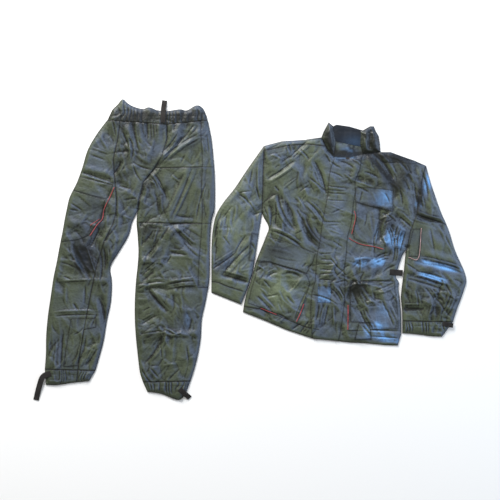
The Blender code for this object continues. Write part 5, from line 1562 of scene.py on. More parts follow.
def shifted(line, aside):
    """The line moved sideways, to the left of the way it runs."""
    p = np.array([(q[0], q[1]) for q in line], float)
    runs = np.diff(p, axis=0)
    runs /= np.linalg.norm(runs, axis=1)[:, None]
    normals = np.column_stack([-runs[:, 1], runs[:, 0]])
    mean = np.vstack([normals[:1], normals[:-1] + normals[1:], normals[-1:]])
    mean /= np.linalg.norm(mean, axis=1)[:, None]
    return p + mean * aside


def closed_inset(outline, margin):
    """A closed outline moved inwards."""
    p = [np.array((q[0], q[1]), float) for q in outline]
    area = sum(p[i - 1][0] * p[i][1] - p[i][0] * p[i - 1][1] for i in range(len(p)))
    out = []
    for a, b, c in zip(p[-1:] + p[:-1], p, p[1:] + p[:1]):
        u, v = (b - a) / np.linalg.norm(b - a), (c - b) / np.linalg.norm(c - b)
        n = np.array([-u[1] - v[1], u[0] + v[0]])
        n /= max(np.linalg.norm(n), 0.3)
        out.append(b + n * (margin if area > 0 else -margin))
    return np.array(out + out[:1])


class Sewing:
    """Collects stitches and makes one object of them."""

    def __init__(self):
        self.points, self.triangles, self.count = [], [], 0

    def row(self, maker, line, lift=0.2, pitch=4.2, length=3.0, width=0.9, gathers=None,
            within=None):
        line = np.array([(q[0], q[1]) for q in line], float)
        reach = arc_lengths(line)
        starts = np.arange(0.5, reach[-1] - length, pitch)
        if not len(starts):
            return
        ends = [np.column_stack([np.interp(s, reach, line[:, k]) for k in (0, 1)])
                for s in (starts, starts + length)]
        if within is not None:
            good = inside((ends[0] + ends[1]) / 2, within)
            ends = [e[good] for e in ends]
            if not len(ends[0]):
                return
        a, b = ends
        middle = (a + b) / 2
        run = (b - a) / np.maximum(np.linalg.norm(b - a, axis=1), 1e-6)[:, None]
        across = np.column_stack([-run[:, 1], run[:, 0]]) * width / 2
        z = [maker.heights(q, gathers) + lift for q in (a, middle, b)]
        corners = [np.column_stack([a, z[0] - 0.1]), np.column_stack([b, z[2] - 0.1]),
                   np.column_stack([middle - across, z[1]]),
                   np.column_stack([middle + across, z[1]]),
                   np.column_stack([middle, z[1] + 0.45])]
        stack = np.stack(corners, axis=1) + maker.offset
        faces = np.array([(0, 2, 4), (2, 1, 4), (1, 3, 4), (3, 0, 4), (0, 3, 2), (1, 2, 3)])
        each = np.arange(len(stack))[:, None, None] * 5 + faces + self.count
        self.points.append(stack.reshape(-1, 3))
        self.triangles.append(each.reshape(-1, 3))
        self.count += len(stack) * 5

    def make(self, name, look):
        obj = new_mesh(name, np.concatenate(self.points), np.concatenate(self.triangles), look,
                       sharp=80)
        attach(obj, "root")
        return obj


def tube(name, maker, line, radius, lift, look, node=None, flatten=0.8, bumps=0.0):
    """A round cord of cloth along a line, such as piping, lying on the cloth."""
    path = smooth([(q[0], q[1]) for q in line], 8)
    path = resampled(path, 2.0)
    z = maker.heights(path) + lift + radius * flatten
    centre = np.column_stack([path, z]) + maker.offset
    ahead = np.gradient(centre, axis=0)
    ahead /= np.linalg.norm(ahead, axis=1)[:, None]
    side = np.column_stack([-ahead[:, 1], ahead[:, 0], np.zeros(len(ahead))])
    side /= np.linalg.norm(side, axis=1)[:, None]
    up = np.cross(ahead, side)
    reach = arc_lengths(centre)
    size = radius * (1 + bumps * np.sin(reach * 0.9) * np.sin(reach * 0.23 + 1))
    sides = 10
    rings = []
    for k in range(sides):
        angle = 2 * math.pi * k / sides
        rings.append(centre + (side * math.cos(angle) + up * (math.sin(angle) * flatten))
                     * size[:, None])
    points = np.stack(rings, axis=1).reshape(-1, 3)
    faces = []
    for i in range(len(centre) - 1):
        for k in range(sides):
            a, b = i * sides + k, i * sides + (k + 1) % sides
            faces += [(a, b, b + sides), (a, b + sides, a + sides)]
    caps = [0, len(centre) - 1]
    for n, c in enumerate(caps):
        points = np.vstack([points, centre[c] + ahead[c] * radius * (0.5 if n else -0.5)])
        tip = len(points) - 1
        for k in range(sides):
            a, b = c * sides + k, c * sides + (k + 1) % sides
            faces.append((a, b, tip) if n else (b, a, tip))
    obj = new_mesh(name, points, faces, look)
    obj.data.flip_normals() if signed_volume(obj.data) < 0 else None
    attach(obj, "root")
    if node:
        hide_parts(node)
    return obj


def signed_volume(mesh):
    total = 0.0
    for p in mesh.polygons:
        a, b, c = (mesh.vertices[i].co for i in p.vertices[:3])
        total += a.dot(b.cross(c))
    return total


def upper_hull(points):
    """The line drawn taut over points (along, height), from the first to the last."""
    highest = {}
    for reach, height in points:
        highest[round(reach, 2)] = max(height, highest.get(round(reach, 2), height))
    hull = []
    for q in sorted(highest.items()):
        while len(hull) > 1 and ((hull[-1][0] - hull[-2][0]) * (q[1] - hull[-2][1])
                                 >= (hull[-1][1] - hull[-2][1]) * (q[0] - hull[-2][0])):
            hull.pop()
        hull.append(q)
    return np.array(hull)


def strap(name, maker, line, width, on, rest, look, thick=1.9, gathers=None, curl=0.0):
    """A strip of webbing drawn over the cloth, its end down near the surface."""
    path = resampled(smooth([(q[0], q[1]) for q in line], 6), 2.5)
    reach = arc_lengths(path)
    grid = np.linspace(-0.55, 0.55, 7) * width
    sideways = [shifted(path, s) for s in grid]
    heights = [(reach[-1], rest)]
    for strip in sideways:
        covered = inside(strip, on)
        z = maker.heights(strip, gathers) + 0.6
        heights += [(r, h) for r, h, c in zip(reach, z, covered) if c]
    hull = upper_hull(heights)
    level = np.interp(reach, hull[:, 0], hull[:, 1])
    level += curl * np.sin(np.pi * reach / reach[-1]) ** 2
    profile = [(-0.5, 0.0), (-0.5, 0.6), (-0.47, 0.92), (-0.3, 1.0), (0.0, 0.96), (0.3, 1.0),
               (0.47, 0.92), (0.5, 0.6), (0.5, 0.0)]
    points, faces = [], []
    for s, h in profile:
        q = shifted(path, s * width)
        points.append(np.column_stack([q, level + h * thick]) + maker.offset)
    rows, cols = len(profile), len(path)
    points = np.stack(points, axis=1).reshape(-1, 3)
    for i in range(cols - 1):
        for k in range(rows):
            a, b = i * rows + k, i * rows + (k + 1) % rows
            faces += [(a, b, b + rows), (a, b + rows, a + rows)]
    for c, way in ((0, 1), (cols - 1, -1)):
        for k in range(1, rows - 1):
            f = (c * rows, c * rows + k, c * rows + k + 1)
            faces.append(f[::-way])
    obj = new_mesh(name + "_webbing", points, faces, look, sharp=40)
    obj.data.flip_normals() if signed_volume(obj.data) < 0 else None
    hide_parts(name)
    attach(obj, "root")
    return obj


def node(tree, kind, at, **inputs):
    made = tree.nodes.new(kind)
    made.location = at
    for name, value in inputs.items():
        made.inputs[name.replace("_", " ")].default_value = value
    return made


def bumpy(tree, height, strength, far, at, before=None):
    bump = node(tree, "ShaderNodeBump", at, Strength=strength, Distance=far)
    tree.links.new(height, bump.inputs["Height"])
    if before is not None:
        tree.links.new(before.outputs["Normal"], bump.inputs["Normal"])
    return bump


def cloth_look(name, roughness, crinkle, weave, coat, sheen):
    """Coated nylon: the piece's patches of colour with painted light, shade and blue reflection in
    them, a fine crinkle and a plain weave.
    """
    look = bpy.data.materials.new(name)
    look.use_nodes = True
    tree = look.node_tree
    shader = tree.nodes["Principled BSDF"]
    shader.inputs["Specular IOR Level"].default_value = 0.3
    shader.inputs["Coat Weight"].default_value = coat
    shader.inputs["Coat Roughness"].default_value = 0.28
    shader.inputs["Sheen Weight"].default_value = sheen
    shader.inputs["Sheen Roughness"].default_value = 0.45
    where = node(tree, "ShaderNodeTexCoord", (-1400, 0))
    shade = node(tree, "ShaderNodeAttribute", (-900, 400))
    shade.attribute_name = "shade"
    speck = node(tree, "ShaderNodeTexNoise", (-1100, 200), Scale=210.0, Detail=5.0)
    tree.links.new(where.outputs["Object"], speck.inputs["Vector"])
    vary = node(tree, "ShaderNodeMapRange", (-900, 200), To_Min=0.80, To_Max=1.22)
    tree.links.new(speck.outputs["Fac"], vary.inputs["Value"])
    colour = node(tree, "ShaderNodeVectorMath", (-600, 350))
    colour.operation = "SCALE"
    tree.links.new(shade.outputs["Color"], colour.inputs[0])
    tree.links.new(vary.outputs["Result"], colour.inputs["Scale"])
    tree.links.new(colour.outputs["Vector"], shader.inputs["Base Color"])
    rough = node(tree, "ShaderNodeTexNoise", (-1100, 0), Scale=45.0, Detail=3.0)
    tree.links.new(where.outputs["Object"], rough.inputs["Vector"])
    spread = node(tree, "ShaderNodeMapRange", (-900, 0), From_Min=0.3, From_Max=0.7,
                  To_Min=roughness - 0.07, To_Max=roughness + 0.09)
    tree.links.new(rough.outputs["Fac"], spread.inputs["Value"])
    tree.links.new(spread.outputs["Result"], shader.inputs["Roughness"])
    facets = node(tree, "ShaderNodeTexVoronoi", (-1100, -200), Scale=105.0)
    facets.feature = "F1"
    warp = node(tree, "ShaderNodeTexNoise", (-1500, -300), Scale=60.0, Detail=3.0)
    tree.links.new(where.outputs["Object"], warp.inputs["Vector"])
    mixed = node(tree, "ShaderNodeVectorMath", (-1300, -250))
    mixed.operation = "MULTIPLY_ADD"
    tree.links.new(warp.outputs["Color"], mixed.inputs[0])
    mixed.inputs[1].default_value = (0.014, 0.014, 0.014)
    tree.links.new(where.outputs["Object"], mixed.inputs[2])
    tree.links.new(mixed.outputs["Vector"], facets.inputs["Vector"])
    first = bumpy(tree, facets.outputs["Distance"], 1.0, 0.0008 * crinkle, (-500, -200))
    ripple = node(tree, "ShaderNodeTexNoise", (-1100, -400), Scale=330.0, Detail=4.0)
    tree.links.new(mixed.outputs["Vector"], ripple.inputs["Vector"])
    second = bumpy(tree, ripple.outputs["Fac"], 1.0, 0.0003 * crinkle, (-350, -300), first)
    last = second
    for k, turn in enumerate((0.0, math.pi / 2)):
        thread = node(tree, "ShaderNodeTexWave", (-1100, -600 - 200 * k), Scale=420.0)
        thread.wave_profile = "SIN"
        thread.bands_direction = "X" if k == 0 else "Y"
        tree.links.new(where.outputs["Object"], thread.inputs["Vector"])
        last = bumpy(tree, thread.outputs["Fac"], 0.5, 0.00006 * weave, (-200 + 120 * k, -400),
                     last)
    tree.links.new(last.outputs["Normal"], shader.inputs["Normal"])
    return look


def tape_look(name, colour, roughness, rib, across="X", strength=0.6):
    """Webbing, piping or thread: ribs across it and a slightly uneven colour."""
    look = bpy.data.materials.new(name)
    look.use_nodes = True
    tree = look.node_tree
    shader = tree.nodes["Principled BSDF"]
    shader.inputs["Roughness"].default_value = roughness
    shader.inputs["Sheen Weight"].default_value = 0.05
    shader.inputs["Specular IOR Level"].default_value = 0.25
    where = node(tree, "ShaderNodeTexCoord", (-1200, 0))
    uneven = node(tree, "ShaderNodeTexNoise", (-900, 200), Scale=55.0, Detail=5.0)
    tree.links.new(where.outputs["Object"], uneven.inputs["Vector"])
    ramp = node(tree, "ShaderNodeValToRGB", (-650, 200))
    ramp.color_ramp.elements[0].position = 0.3
    ramp.color_ramp.elements[1].position = 0.7
    ramp.color_ramp.elements[0].color = (*[0.5 * c for c in colour], 1)
    ramp.color_ramp.elements[1].color = (*[min(1.25 * c, 1) for c in colour], 1)
    tree.links.new(uneven.outputs["Fac"], ramp.inputs["Fac"])
    tree.links.new(ramp.outputs["Color"], shader.inputs["Base Color"])
    ribs = node(tree, "ShaderNodeTexWave", (-900, -200), Scale=rib)
    ribs.bands_direction = across
    tree.links.new(where.outputs["Object"], ribs.inputs["Vector"])
    cross = node(tree, "ShaderNodeTexWave", (-900, -400), Scale=rib * 1.3)
    cross.bands_direction = "DIAGONAL"
    tree.links.new(where.outputs["Object"], cross.inputs["Vector"])
    first = bumpy(tree, ribs.outputs["Fac"], strength, 0.0004, (-500, -200))
    second = bumpy(tree, cross.outputs["Fac"], strength * 0.5, 0.0002, (-300, -200), first)
    tree.links.new(second.outputs["Normal"], shader.inputs["Normal"])
    return look


LOOKS = {
    "nylon": cloth_look("coated_nylon", 0.45, 1.0, 1.0, 0.06, 0.05),
    "nylon_blue": cloth_look("coated_nylon_blue", 0.40, 1.1, 1.0, 0.14, 0.05),
    "soft_nylon": cloth_look("coated_nylon_soft", 0.47, 1.0, 1.0, 0.05, 0.05),
    "lining": cloth_look("lining_cloth", 0.8, 0.5, 1.5, 0.0, 0.05),
    "piping": tape_look("red_piping", (0.34, 0.06, 0.065), 0.5, 260.0),
    "pale_piping": tape_look("pale_piping", (0.42, 0.27, 0.27), 0.55, 260.0),
    "webbing": tape_look("black_webbing", (0.018, 0.0155, 0.0145), 0.75, 180.0, "Y"),
    "thread": tape_look("sewing_thread", (0.045, 0.052, 0.052), 0.6, 500.0),
}


def gathering(seam, end, count, tall, seed):
    """The heights of a band drawn in by elastic: uneven crests that run across it."""
    a, b = (np.array((q[0], q[1]), float) for q in (seam[0], seam[-1]))
    run = b - a
    chord = float(np.linalg.norm(run))
    run /= chord
    aside = np.array([-run[1], run[0]])
    depth = float(np.mean([(np.array((q[0], q[1])) - a) @ aside for q in end]))

    def crests(points):
        u = (points - a) @ run / chord
        v = np.clip((points - a) @ aside / depth, 0, 1)
        lean = value_noise(np.column_stack([u * 7, v * 1.6]), 1.0, seed) * 0.75
        wave = 2 * math.pi * (count * u + lean + 0.7 * np.sin(u * 17.0 + seed))
        high = 0.6 + 0.4 * value_noise(np.column_stack([u * count * 0.6, v * 2.2]), 1.0,
                                       seed + 1)
        folds = (0.5 - 0.5 * np.cos(wave)) ** 0.8
        finer = 0.22 * (0.5 - 0.5 * np.cos(2.3 * wave + 4 * v))
        stitched = 1 - 0.25 * np.exp(-((v - 0.32) / 0.06) ** 2) - 0.25 * np.exp(
            -((v - 0.72) / 0.06) ** 2)
        return tall * high * (folds + finer) * stitched * (0.55 + 0.45 * np.sin(math.pi * v))
    return crests


def rows(line, *asides):
    return [shifted(line, s) for s in asides]


def make_trousers(looks):
    waist_seam = [Point(q.x, q.y + GAP) for q in WAIST_SEAM]
    rims = [
        edge(LEFT_LEG, "left"), edge(LEFT_LEG, "right", CROTCH_ROW),
        edge(RIGHT_LEG, "left", CROTCH_ROW), edge(RIGHT_LEG, "right"),
        smooth(WAIST_TOP, 4), [WAIST_SEAM[0], WAIST_TOP[0]], [WAIST_SEAM[-1], WAIST_TOP[-1]],
        [LEFT_HEM_SEAM[0], LEFT_HEM[0]], LEFT_HEM, [LEFT_HEM[-1], LEFT_HEM_SEAM[1]],
        [RIGHT_HEM_SEAM[0], RIGHT_HEM[0]], RIGHT_HEM, [RIGHT_HEM[-1], RIGHT_HEM_SEAM[1]],
    ]
    thigh_seam, knee_seam = [Point(64, 145)] + THIGH_SEAM[1:], [Point(6, -53)] + KNEE_SEAM[2:]
    seams = [CENTRE_SEAM, LEFT_PANEL_SEAM, thigh_seam, knee_seam, WAIST_SEAM, LEFT_HEM_SEAM,
             RIGHT_HEM_SEAM]
    cloth = Cloth(TROUSERS_AT, rims, TROUSER_FOLDS, TROUSER_CREASES, TROUSER_GRAINS,
                  TROUSER_CALM, seams, 11, [(115, 1.3, 2.7), (62, 1.7, 1.8), (32, 0.9, 0.7)])
    closed_lines = [CARGO_POCKET, CARGO_FLAP, SIDE_PLACKET, LEG_GUSSET]
    maker = Maker(cloth, TROUSER_SHADES, looks, [c + c[:1] for c in closed_lines], 0.80)
    waist_line = [Point(-600, 328)] + WAIST_SEAM + [Point(600, 330)]
    below_waist = side_of(waist_line, DOWN)
    left_lines = [waist_line, CENTRE_SEAM, LEFT_PANEL_SEAM, CARGO_POCKET + CARGO_POCKET[:1],
                  CARGO_FLAP + CARGO_FLAP[:1], LEG_GUSSET + LEG_GUSSET[:1]]
    left_keep = [below_waist, side_of(CENTRE_SEAM, LEFT)]
    left = Region(cloth, ends_of(LEFT_LEG), left_lines, left_keep)
    maker.piece("front_left_side", left, [side_of(LEFT_PANEL_SEAM, LEFT)], "nylon_blue")
    maker.piece("front_left_leg", left, [side_of(LEFT_PANEL_SEAM, RIGHT)], "nylon")
    maker.piece("cargo_pocket", left, [CARGO_POCKET], "nylon_blue", level=0)
    maker.piece("cargo_flap", left, [CARGO_FLAP], "nylon", level=0)
    maker.piece("leg_gusset", left, [LEG_GUSSET], "nylon", level=0)
    right_lines = [waist_line, CENTRE_SEAM, THIGH_SEAM, KNEE_SEAM,
                   SIDE_PLACKET + SIDE_PLACKET[:1]]
    right = Region(cloth, ends_of(RIGHT_LEG), right_lines,
                   [below_waist, side_of(CENTRE_SEAM, RIGHT)])
    maker.piece("front_right_upper", right, [side_of(THIGH_SEAM, UP)], "nylon")
    maker.piece("front_right_knee", right, [side_of(THIGH_SEAM, DOWN), side_of(KNEE_SEAM, UP)],
                "nylon")
    maker.piece("front_right_lower", right, [side_of(KNEE_SEAM, DOWN)], "nylon")
    maker.piece("side_placket", right, [SIDE_PLACKET], "nylon", level=0)
    waist_top = list(smooth(WAIST_TOP, 6))
    waist_crests = gathering(WAIST_SEAM, WAIST_TOP, 18, 4.6, 21)
    waist = Region(cloth, waist_seam + waist_top[::-1], [], (), 2.6, waist_crests)
    maker.piece("waistband_front", waist, [], "nylon")
    hems = []
    for name, seam, end, seed in (("hem_left", LEFT_HEM_SEAM, LEFT_HEM, 31),
                                  ("hem_right", RIGHT_HEM_SEAM, RIGHT_HEM, 41)):
        low_seam = [Point(q.x, q.y - GAP) for q in seam]
        crests = gathering(seam, end, 8, 4.2, seed)
        band = Region(cloth, low_seam + list(smooth(end, 6))[::-1], [], (), 2.4, crests)
        maker.piece(name, band, [], "nylon")
        coarse = Region(cloth, low_seam + list(smooth(end, 6))[::-1], [], (), BACK_SPACING)
        maker.back(name + "_back", coarse, [])
        hems.append((low_seam + list(smooth(end, 6))[::-1], crests))
    coarse = Region(cloth, waist_seam + waist_top[::-1], [], (), BACK_SPACING)
    maker.back("waistband_back", coarse, [])
    coarse = Region(cloth, ends_of(LEFT_LEG), [waist_line, CENTRE_SEAM], left_keep, BACK_SPACING)
    maker.back("back_left_leg", coarse, [])
    coarse = Region(cloth, ends_of(RIGHT_LEG), [waist_line, CENTRE_SEAM],
                    [below_waist, side_of(CENTRE_SEAM, RIGHT)], BACK_SPACING)
    maker.back("back_right_leg", coarse, [])

    tube("cargo_cord", maker, CARGO_PIPING, 1.35, GAP + 1.0, looks["piping"],
         "cargo_piping", bumps=0.15)
    tube("cargo_fork_cord", maker, CARGO_PIPING_FORK, 1.0, GAP + 1.2, looks["piping"],
         "cargo_piping_fork", bumps=0.2)
    strap("hanging_loop", maker, HANGING_LOOP, 18, waist_seam + waist_top[::-1], GAP,
          looks["webbing"], gathers=waist_crests)
    strap("hem_strap_left", maker, HEM_STRAP, 20, hems[0][0], GAP, looks["webbing"],
          gathers=hems[0][1])
    strap("hem_tab_right", maker, RIGHT_HEM_TAB, 18, hems[1][0], GAP, looks["webbing"],
          gathers=hems[1][1])

    leg_left, leg_right = ends_of(LEFT_LEG), ends_of(RIGHT_LEG)
    sewing = Sewing()
    for line, sides, area in ((CENTRE_SEAM, (-4, 4), leg_left), (LEFT_PANEL_SEAM, (4, 7), leg_left),
                              (thigh_seam, (-4, -7), leg_right), (knee_seam, (-4, -7), leg_right)):
        for r in rows(line, *sides):
            sewing.row(maker, r, within=area)
    for outline, area in zip(closed_lines, (leg_left, leg_left, leg_right, leg_left)):
        for margin in (4, 8):
            sewing.row(maker, closed_inset(outline, margin), lift=CLOTH + GAP + 0.1,
                       within=closed_inset(area, 3))
    for seam, up in ((WAIST_SEAM, -1), (LEFT_HEM_SEAM, 1), (RIGHT_HEM_SEAM, 1)):
        sewing.row(maker, [(q.x, q.y + 4 * up) for q in seam])
    for outline, seam, crests, up, deep in (
            (waist_seam + waist_top[::-1], WAIST_SEAM, waist_crests, 1, (24, 52)),
            (hems[0][0], LEFT_HEM_SEAM, hems[0][1], -1, (16, 33)),
            (hems[1][0], RIGHT_HEM_SEAM, hems[1][1], -1, (14, 28))):
        for d in deep:
            sewing.row(maker, [(q.x, q.y + d * up) for q in seam], gathers=crests,
                       within=outline)
    sewing.make("trouser_stitches", looks["thread"])


def make_jacket(looks):
    rims = [
        edge(LEFT_SLEEVE, "left"), edge(LEFT_SLEEVE, "right", ARMPIT_ROW),
        edge(BODY, "left", ARMPIT_ROW), edge(BODY, "right", ARMPIT_ROW + 1),
        edge(RIGHT_SLEEVE, "left", SLEEVE_FREE_ROW), edge(RIGHT_SLEEVE, "right"),
        FRONT_TOP, BODY_HEM, [LEFT_SLEEVE[-1][:2], LEFT_SLEEVE[-1][2:]],
        [RIGHT_CUFF_SEAM[0], RIGHT_CUFF_END[0]], RIGHT_CUFF_END,
        [RIGHT_CUFF_END[-1], RIGHT_CUFF_SEAM[1]],
    ]
    left_shoulder, right_shoulder = LEFT_SHOULDER_SEAM, RIGHT_SHOULDER_SEAM
    seams = [LEFT_ARMHOLE[1:-1], RIGHT_ARMHOLE[1:-1], left_shoulder[1:-1],
             right_shoulder[1:-1], LEFT_HEM_BAND_SEAM[1:-1], RIGHT_HEM_BAND_SEAM[1:-1],
             LEFT_CUFF_SEAM[1:-1], SLEEVE_SEAM[1:], RIGHT_CUFF_SEAM]
    cloth = Cloth(JACKET_AT, rims, JACKET_FOLDS, JACKET_CREASES, JACKET_GRAINS, JACKET_CALM,
                  seams, 57, [(115, 1.3, 2.7), (62, 1.7, 1.8), (32, 0.9, 0.7)])
    closed_lines = [CHEST_FLAP, CHEST_POCKET, WAIST_BELT, POCKET_LEFT, POCKET_RIGHT, HEM_TAB,
                    FLAP_SQUARE]
    maker = Maker(cloth, JACKET_SHADES, looks, [STORM_FLAP_LEFT, STORM_FLAP_RIGHT] + [
        c + c[:1] for c in closed_lines[:-1] + [SLEEVE_PATCH]])
    beyond = [Point(-400, 374)], [Point(400, 280)]
    hem_line = [Point(-400, -200)] + BODY_HEM + [Point(400, -302)]
    top_line = beyond[0] + FRONT_TOP + beyond[1]
    back_top = beyond[0] + FRONT_TOP[:5] + BACK_NECK[1:] + FRONT_TOP[11:] + beyond[1]
    armholes = [side_of(LEFT_ARMHOLE, RIGHT), side_of(RIGHT_ARMHOLE, LEFT)]
    zip_left = [Point(q.x - ZIP_HALF, q.y) for q in ZIP_LINE]
    zip_right = [Point(q.x + ZIP_HALF, q.y) for q in ZIP_LINE]
    lines = [LEFT_ARMHOLE, RIGHT_ARMHOLE, hem_line, top_line, left_shoulder, right_shoulder,
             LEFT_HEM_BAND_SEAM, RIGHT_HEM_BAND_SEAM, STORM_FLAP_LEFT, STORM_FLAP_RIGHT,
             zip_left, zip_right] + [c + c[:1] for c in closed_lines]
    body = Region(cloth, ends_of(BODY), lines,
                  armholes + [side_of(hem_line, UP), side_of(top_line, DOWN)])
    on_left, on_right = side_of(zip_left, LEFT), side_of(zip_right, RIGHT)
    maker.piece("front_zip", body, [side_of(zip_left, RIGHT), side_of(zip_right, LEFT)],
                "webbing", look=looks["webbing"])
    maker.piece("shoulder_left", body, [on_left, side_of(left_shoulder, UP)], "nylon")
    maker.piece("hem_band_left", body, [on_left, side_of(LEFT_HEM_BAND_SEAM, DOWN)], "nylon")
    maker.piece("front_left", body, [on_left, side_of(left_shoulder, DOWN),
                                     side_of(LEFT_HEM_BAND_SEAM, UP)], "nylon")
    maker.piece("shoulder_right", body, [on_right, side_of(right_shoulder, UP)], "nylon")
    maker.piece("hem_band_right", body, [on_right, side_of(RIGHT_HEM_BAND_SEAM, DOWN)],
                "nylon_blue")
    maker.piece("front_right", body, [on_right, side_of(right_shoulder, DOWN),
                                      side_of(RIGHT_HEM_BAND_SEAM, UP)], "nylon_blue")
    flap = [side_of(STORM_FLAP_LEFT, RIGHT), side_of(STORM_FLAP_RIGHT, LEFT)]
    maker.piece("storm_flap", body, flap, "nylon", mean=0.25, level=0)
    maker.piece("flap_square", body, [FLAP_SQUARE], "nylon_blue", mean=1.5, level=1)
    for name, outline, slot, mean, level in (
            ("chest_flap", CHEST_FLAP, "nylon_blue", 0.7, 0),
            ("chest_pocket", CHEST_POCKET, "nylon_blue", 0.7, 0),
            ("waist_belt", WAIST_BELT, "nylon", 0.1, 0),
            ("pocket_left", POCKET_LEFT, "nylon", -0.2, 0),
            ("pocket_right", POCKET_RIGHT, "nylon_blue", 0.3, 0),
            ("hem_tab", HEM_TAB, "nylon_blue", 0.3, 2)):
        maker.piece(name, body, [outline], slot, mean, level)
    coarse = Region(cloth, ends_of(BODY), [LEFT_ARMHOLE, RIGHT_ARMHOLE, hem_line, back_top],
                    armholes + [side_of(hem_line, UP), side_of(back_top, DOWN)], BACK_SPACING)
    maker.back("back_body", coarse, [])

    left = Region(cloth, ends_of(LEFT_SLEEVE), [LEFT_ARMHOLE, LEFT_CUFF_SEAM],
                  [side_of(LEFT_ARMHOLE, LEFT)])
    maker.piece("sleeve_left", left, [side_of(LEFT_CUFF_SEAM, UP)], "nylon")
    maker.piece("cuff_left", left, [side_of(LEFT_CUFF_SEAM, DOWN)], "nylon")
    coarse = Region(cloth, ends_of(LEFT_SLEEVE), [LEFT_ARMHOLE], [side_of(LEFT_ARMHOLE, LEFT)],
                    BACK_SPACING)
    maker.back("back_left_sleeve", coarse, [])
    right = Region(cloth, ends_of(RIGHT_SLEEVE),
                   [RIGHT_ARMHOLE, SLEEVE_SEAM, SLEEVE_PATCH + SLEEVE_PATCH[:1]],
                   [side_of(RIGHT_ARMHOLE, RIGHT)])
    maker.piece("sleeve_right_upper", right, [side_of(SLEEVE_SEAM, UP)], "nylon_blue")
    maker.piece("sleeve_right_lower", right, [side_of(SLEEVE_SEAM, DOWN)], "nylon")
    maker.piece("sleeve_patch", right, [SLEEVE_PATCH], "nylon", level=0)
    coarse = Region(cloth, ends_of(RIGHT_SLEEVE), [RIGHT_ARMHOLE],
                    [side_of(RIGHT_ARMHOLE, RIGHT)], BACK_SPACING)
    maker.back("back_right_sleeve", coarse, [])
    cuff_seam = [Point(q.x, q.y - GAP) for q in RIGHT_CUFF_SEAM]
    cuff_outline = cuff_seam + list(smooth(RIGHT_CUFF_END, 6))[::-1]
    cuff_crests = gathering(RIGHT_CUFF_SEAM, RIGHT_CUFF_END, 8, 4.2, 61)
    cuff = Region(cloth, cuff_outline, [], (), 2.4, cuff_crests)
    maker.piece("cuff_right", cuff, [], "nylon")
    coarse = Region(cloth, cuff_outline, [], (), BACK_SPACING)
    maker.back("cuff_right_back", coarse, [])

    neck = [Point(q.x, q.y + GAP) for q in BACK_NECK]
    back_outline = COLLAR_BACK_TOP[1:-1][::-1] + neck
    collar_cloth = Cloth(JACKET_AT, [back_outline + back_outline[:1]], [], JACKET_CREASES,
                         JACKET_GRAINS, [],
                         [], 71, [(40, 1.5, 1.0), (20, 2.0, 0.5)])
    collar = Maker(collar_cloth, JACKET_SHADES, looks)
    inner = Region(collar_cloth, back_outline, [], (), 4.0)
    inner.plain = inner.z = 2.4 + 0.35 * (inner.z - RIM)
    back_collar(collar, inner, looks)
    for name, outline, seed in (("collar_left", COLLAR_LEFT, 73), ("collar_right", COLLAR_RIGHT, 75)):
        end_cloth = Cloth(JACKET_AT, [outline + outline[:1]], COLLAR_FOLDS, JACKET_CREASES,
                          JACKET_GRAINS, [], [], seed, [(30, 1.5, 1.0), (18, 2.0, 0.5)])
        Maker(end_cloth, JACKET_SHADES, looks).piece(
            name, Region(end_cloth, outline, [], (), 2.6), [], "nylon")

    tube("chest_upright_cord", maker, CHEST_PIPING_UPRIGHT, 1.2, GAP + 1.2, looks["piping"],
         "chest_piping_upright", bumps=0.15)
    tube("chest_level_cord", maker, CHEST_PIPING_LEVEL, 1.35, GAP + 0.9, looks["piping"],
         "chest_piping_level", bumps=0.15)
    tube("pocket_left_cord", maker, POCKET_LEFT_PIPING, 1.6, GAP + 1.0, looks["piping"],
         "pocket_left_piping", bumps=0.15)
    tube("pocket_left_low_cord", maker, POCKET_LEFT_LOW_PIPING, 1.1, GAP + 0.8,
         looks["piping"], "pocket_left_low_piping", bumps=0.15)
    tube("pocket_right_cord", maker, POCKET_RIGHT_PIPING, 1.7, GAP + 0.8, looks["piping"],
         "pocket_right_piping", bumps=0.15)
    tube("sleeve_cord", maker, SLEEVE_PIPING, 1.3, GAP + 1.0, looks["pale_piping"],
         "sleeve_piping", bumps=0.1)
    body_outline = ends_of(BODY)
    strap("waist_strap", maker, WAIST_STRAP, 21, body_outline, 2.0, looks["webbing"])
    strap("cuff_tab_right", maker, CUFF_TAB, 16, cuff_outline, 6.0, looks["webbing"],
          gathers=cuff_crests)

    sewing = Sewing()
    shape = [q for q in body_outline]
    sleeve_left, sleeve_right = ends_of(LEFT_SLEEVE), ends_of(RIGHT_SLEEVE)
    for line, sides, area in (
            (LEFT_ARMHOLE[1:-1], (4, 7), shape), (RIGHT_ARMHOLE[1:-1], (-4, -7), shape),
            (left_shoulder[1:-1], (-4, -7), shape), (right_shoulder[2:-1], (-4, -7), shape),
            (LEFT_HEM_BAND_SEAM[1:-1], (-4, -7), shape),
            (RIGHT_HEM_BAND_SEAM[1:-1], (-4, -7), shape),
            (LEFT_CUFF_SEAM[1:-1], (4, 7), sleeve_left), (SLEEVE_SEAM[1:], (-4, -7), sleeve_right),
            (BODY_HEM[:-1], (5, 20), shape)):
        for r in rows(line, *sides):
            sewing.row(maker, r, within=area)
    for outline in closed_lines + [SLEEVE_PATCH]:
        for margin in (4, 8):
            lift = CLOTH + GAP + 0.1
            if outline is HEM_TAB:
                lift += 2 * (CLOTH + GAP)
            if outline is FLAP_SQUARE:
                lift += CLOTH + GAP
            sewing.row(maker, closed_inset(outline, margin), lift=lift)
    for line, side in ((STORM_FLAP_LEFT, 5), (STORM_FLAP_LEFT, 14), (STORM_FLAP_RIGHT, -5),
                       (STORM_FLAP_RIGHT, -9)):
        sewing.row(maker, shifted(line, side), lift=CLOTH + GAP + 0.1, within=shape)
    sewing.make("jacket_stitches", looks["thread"])


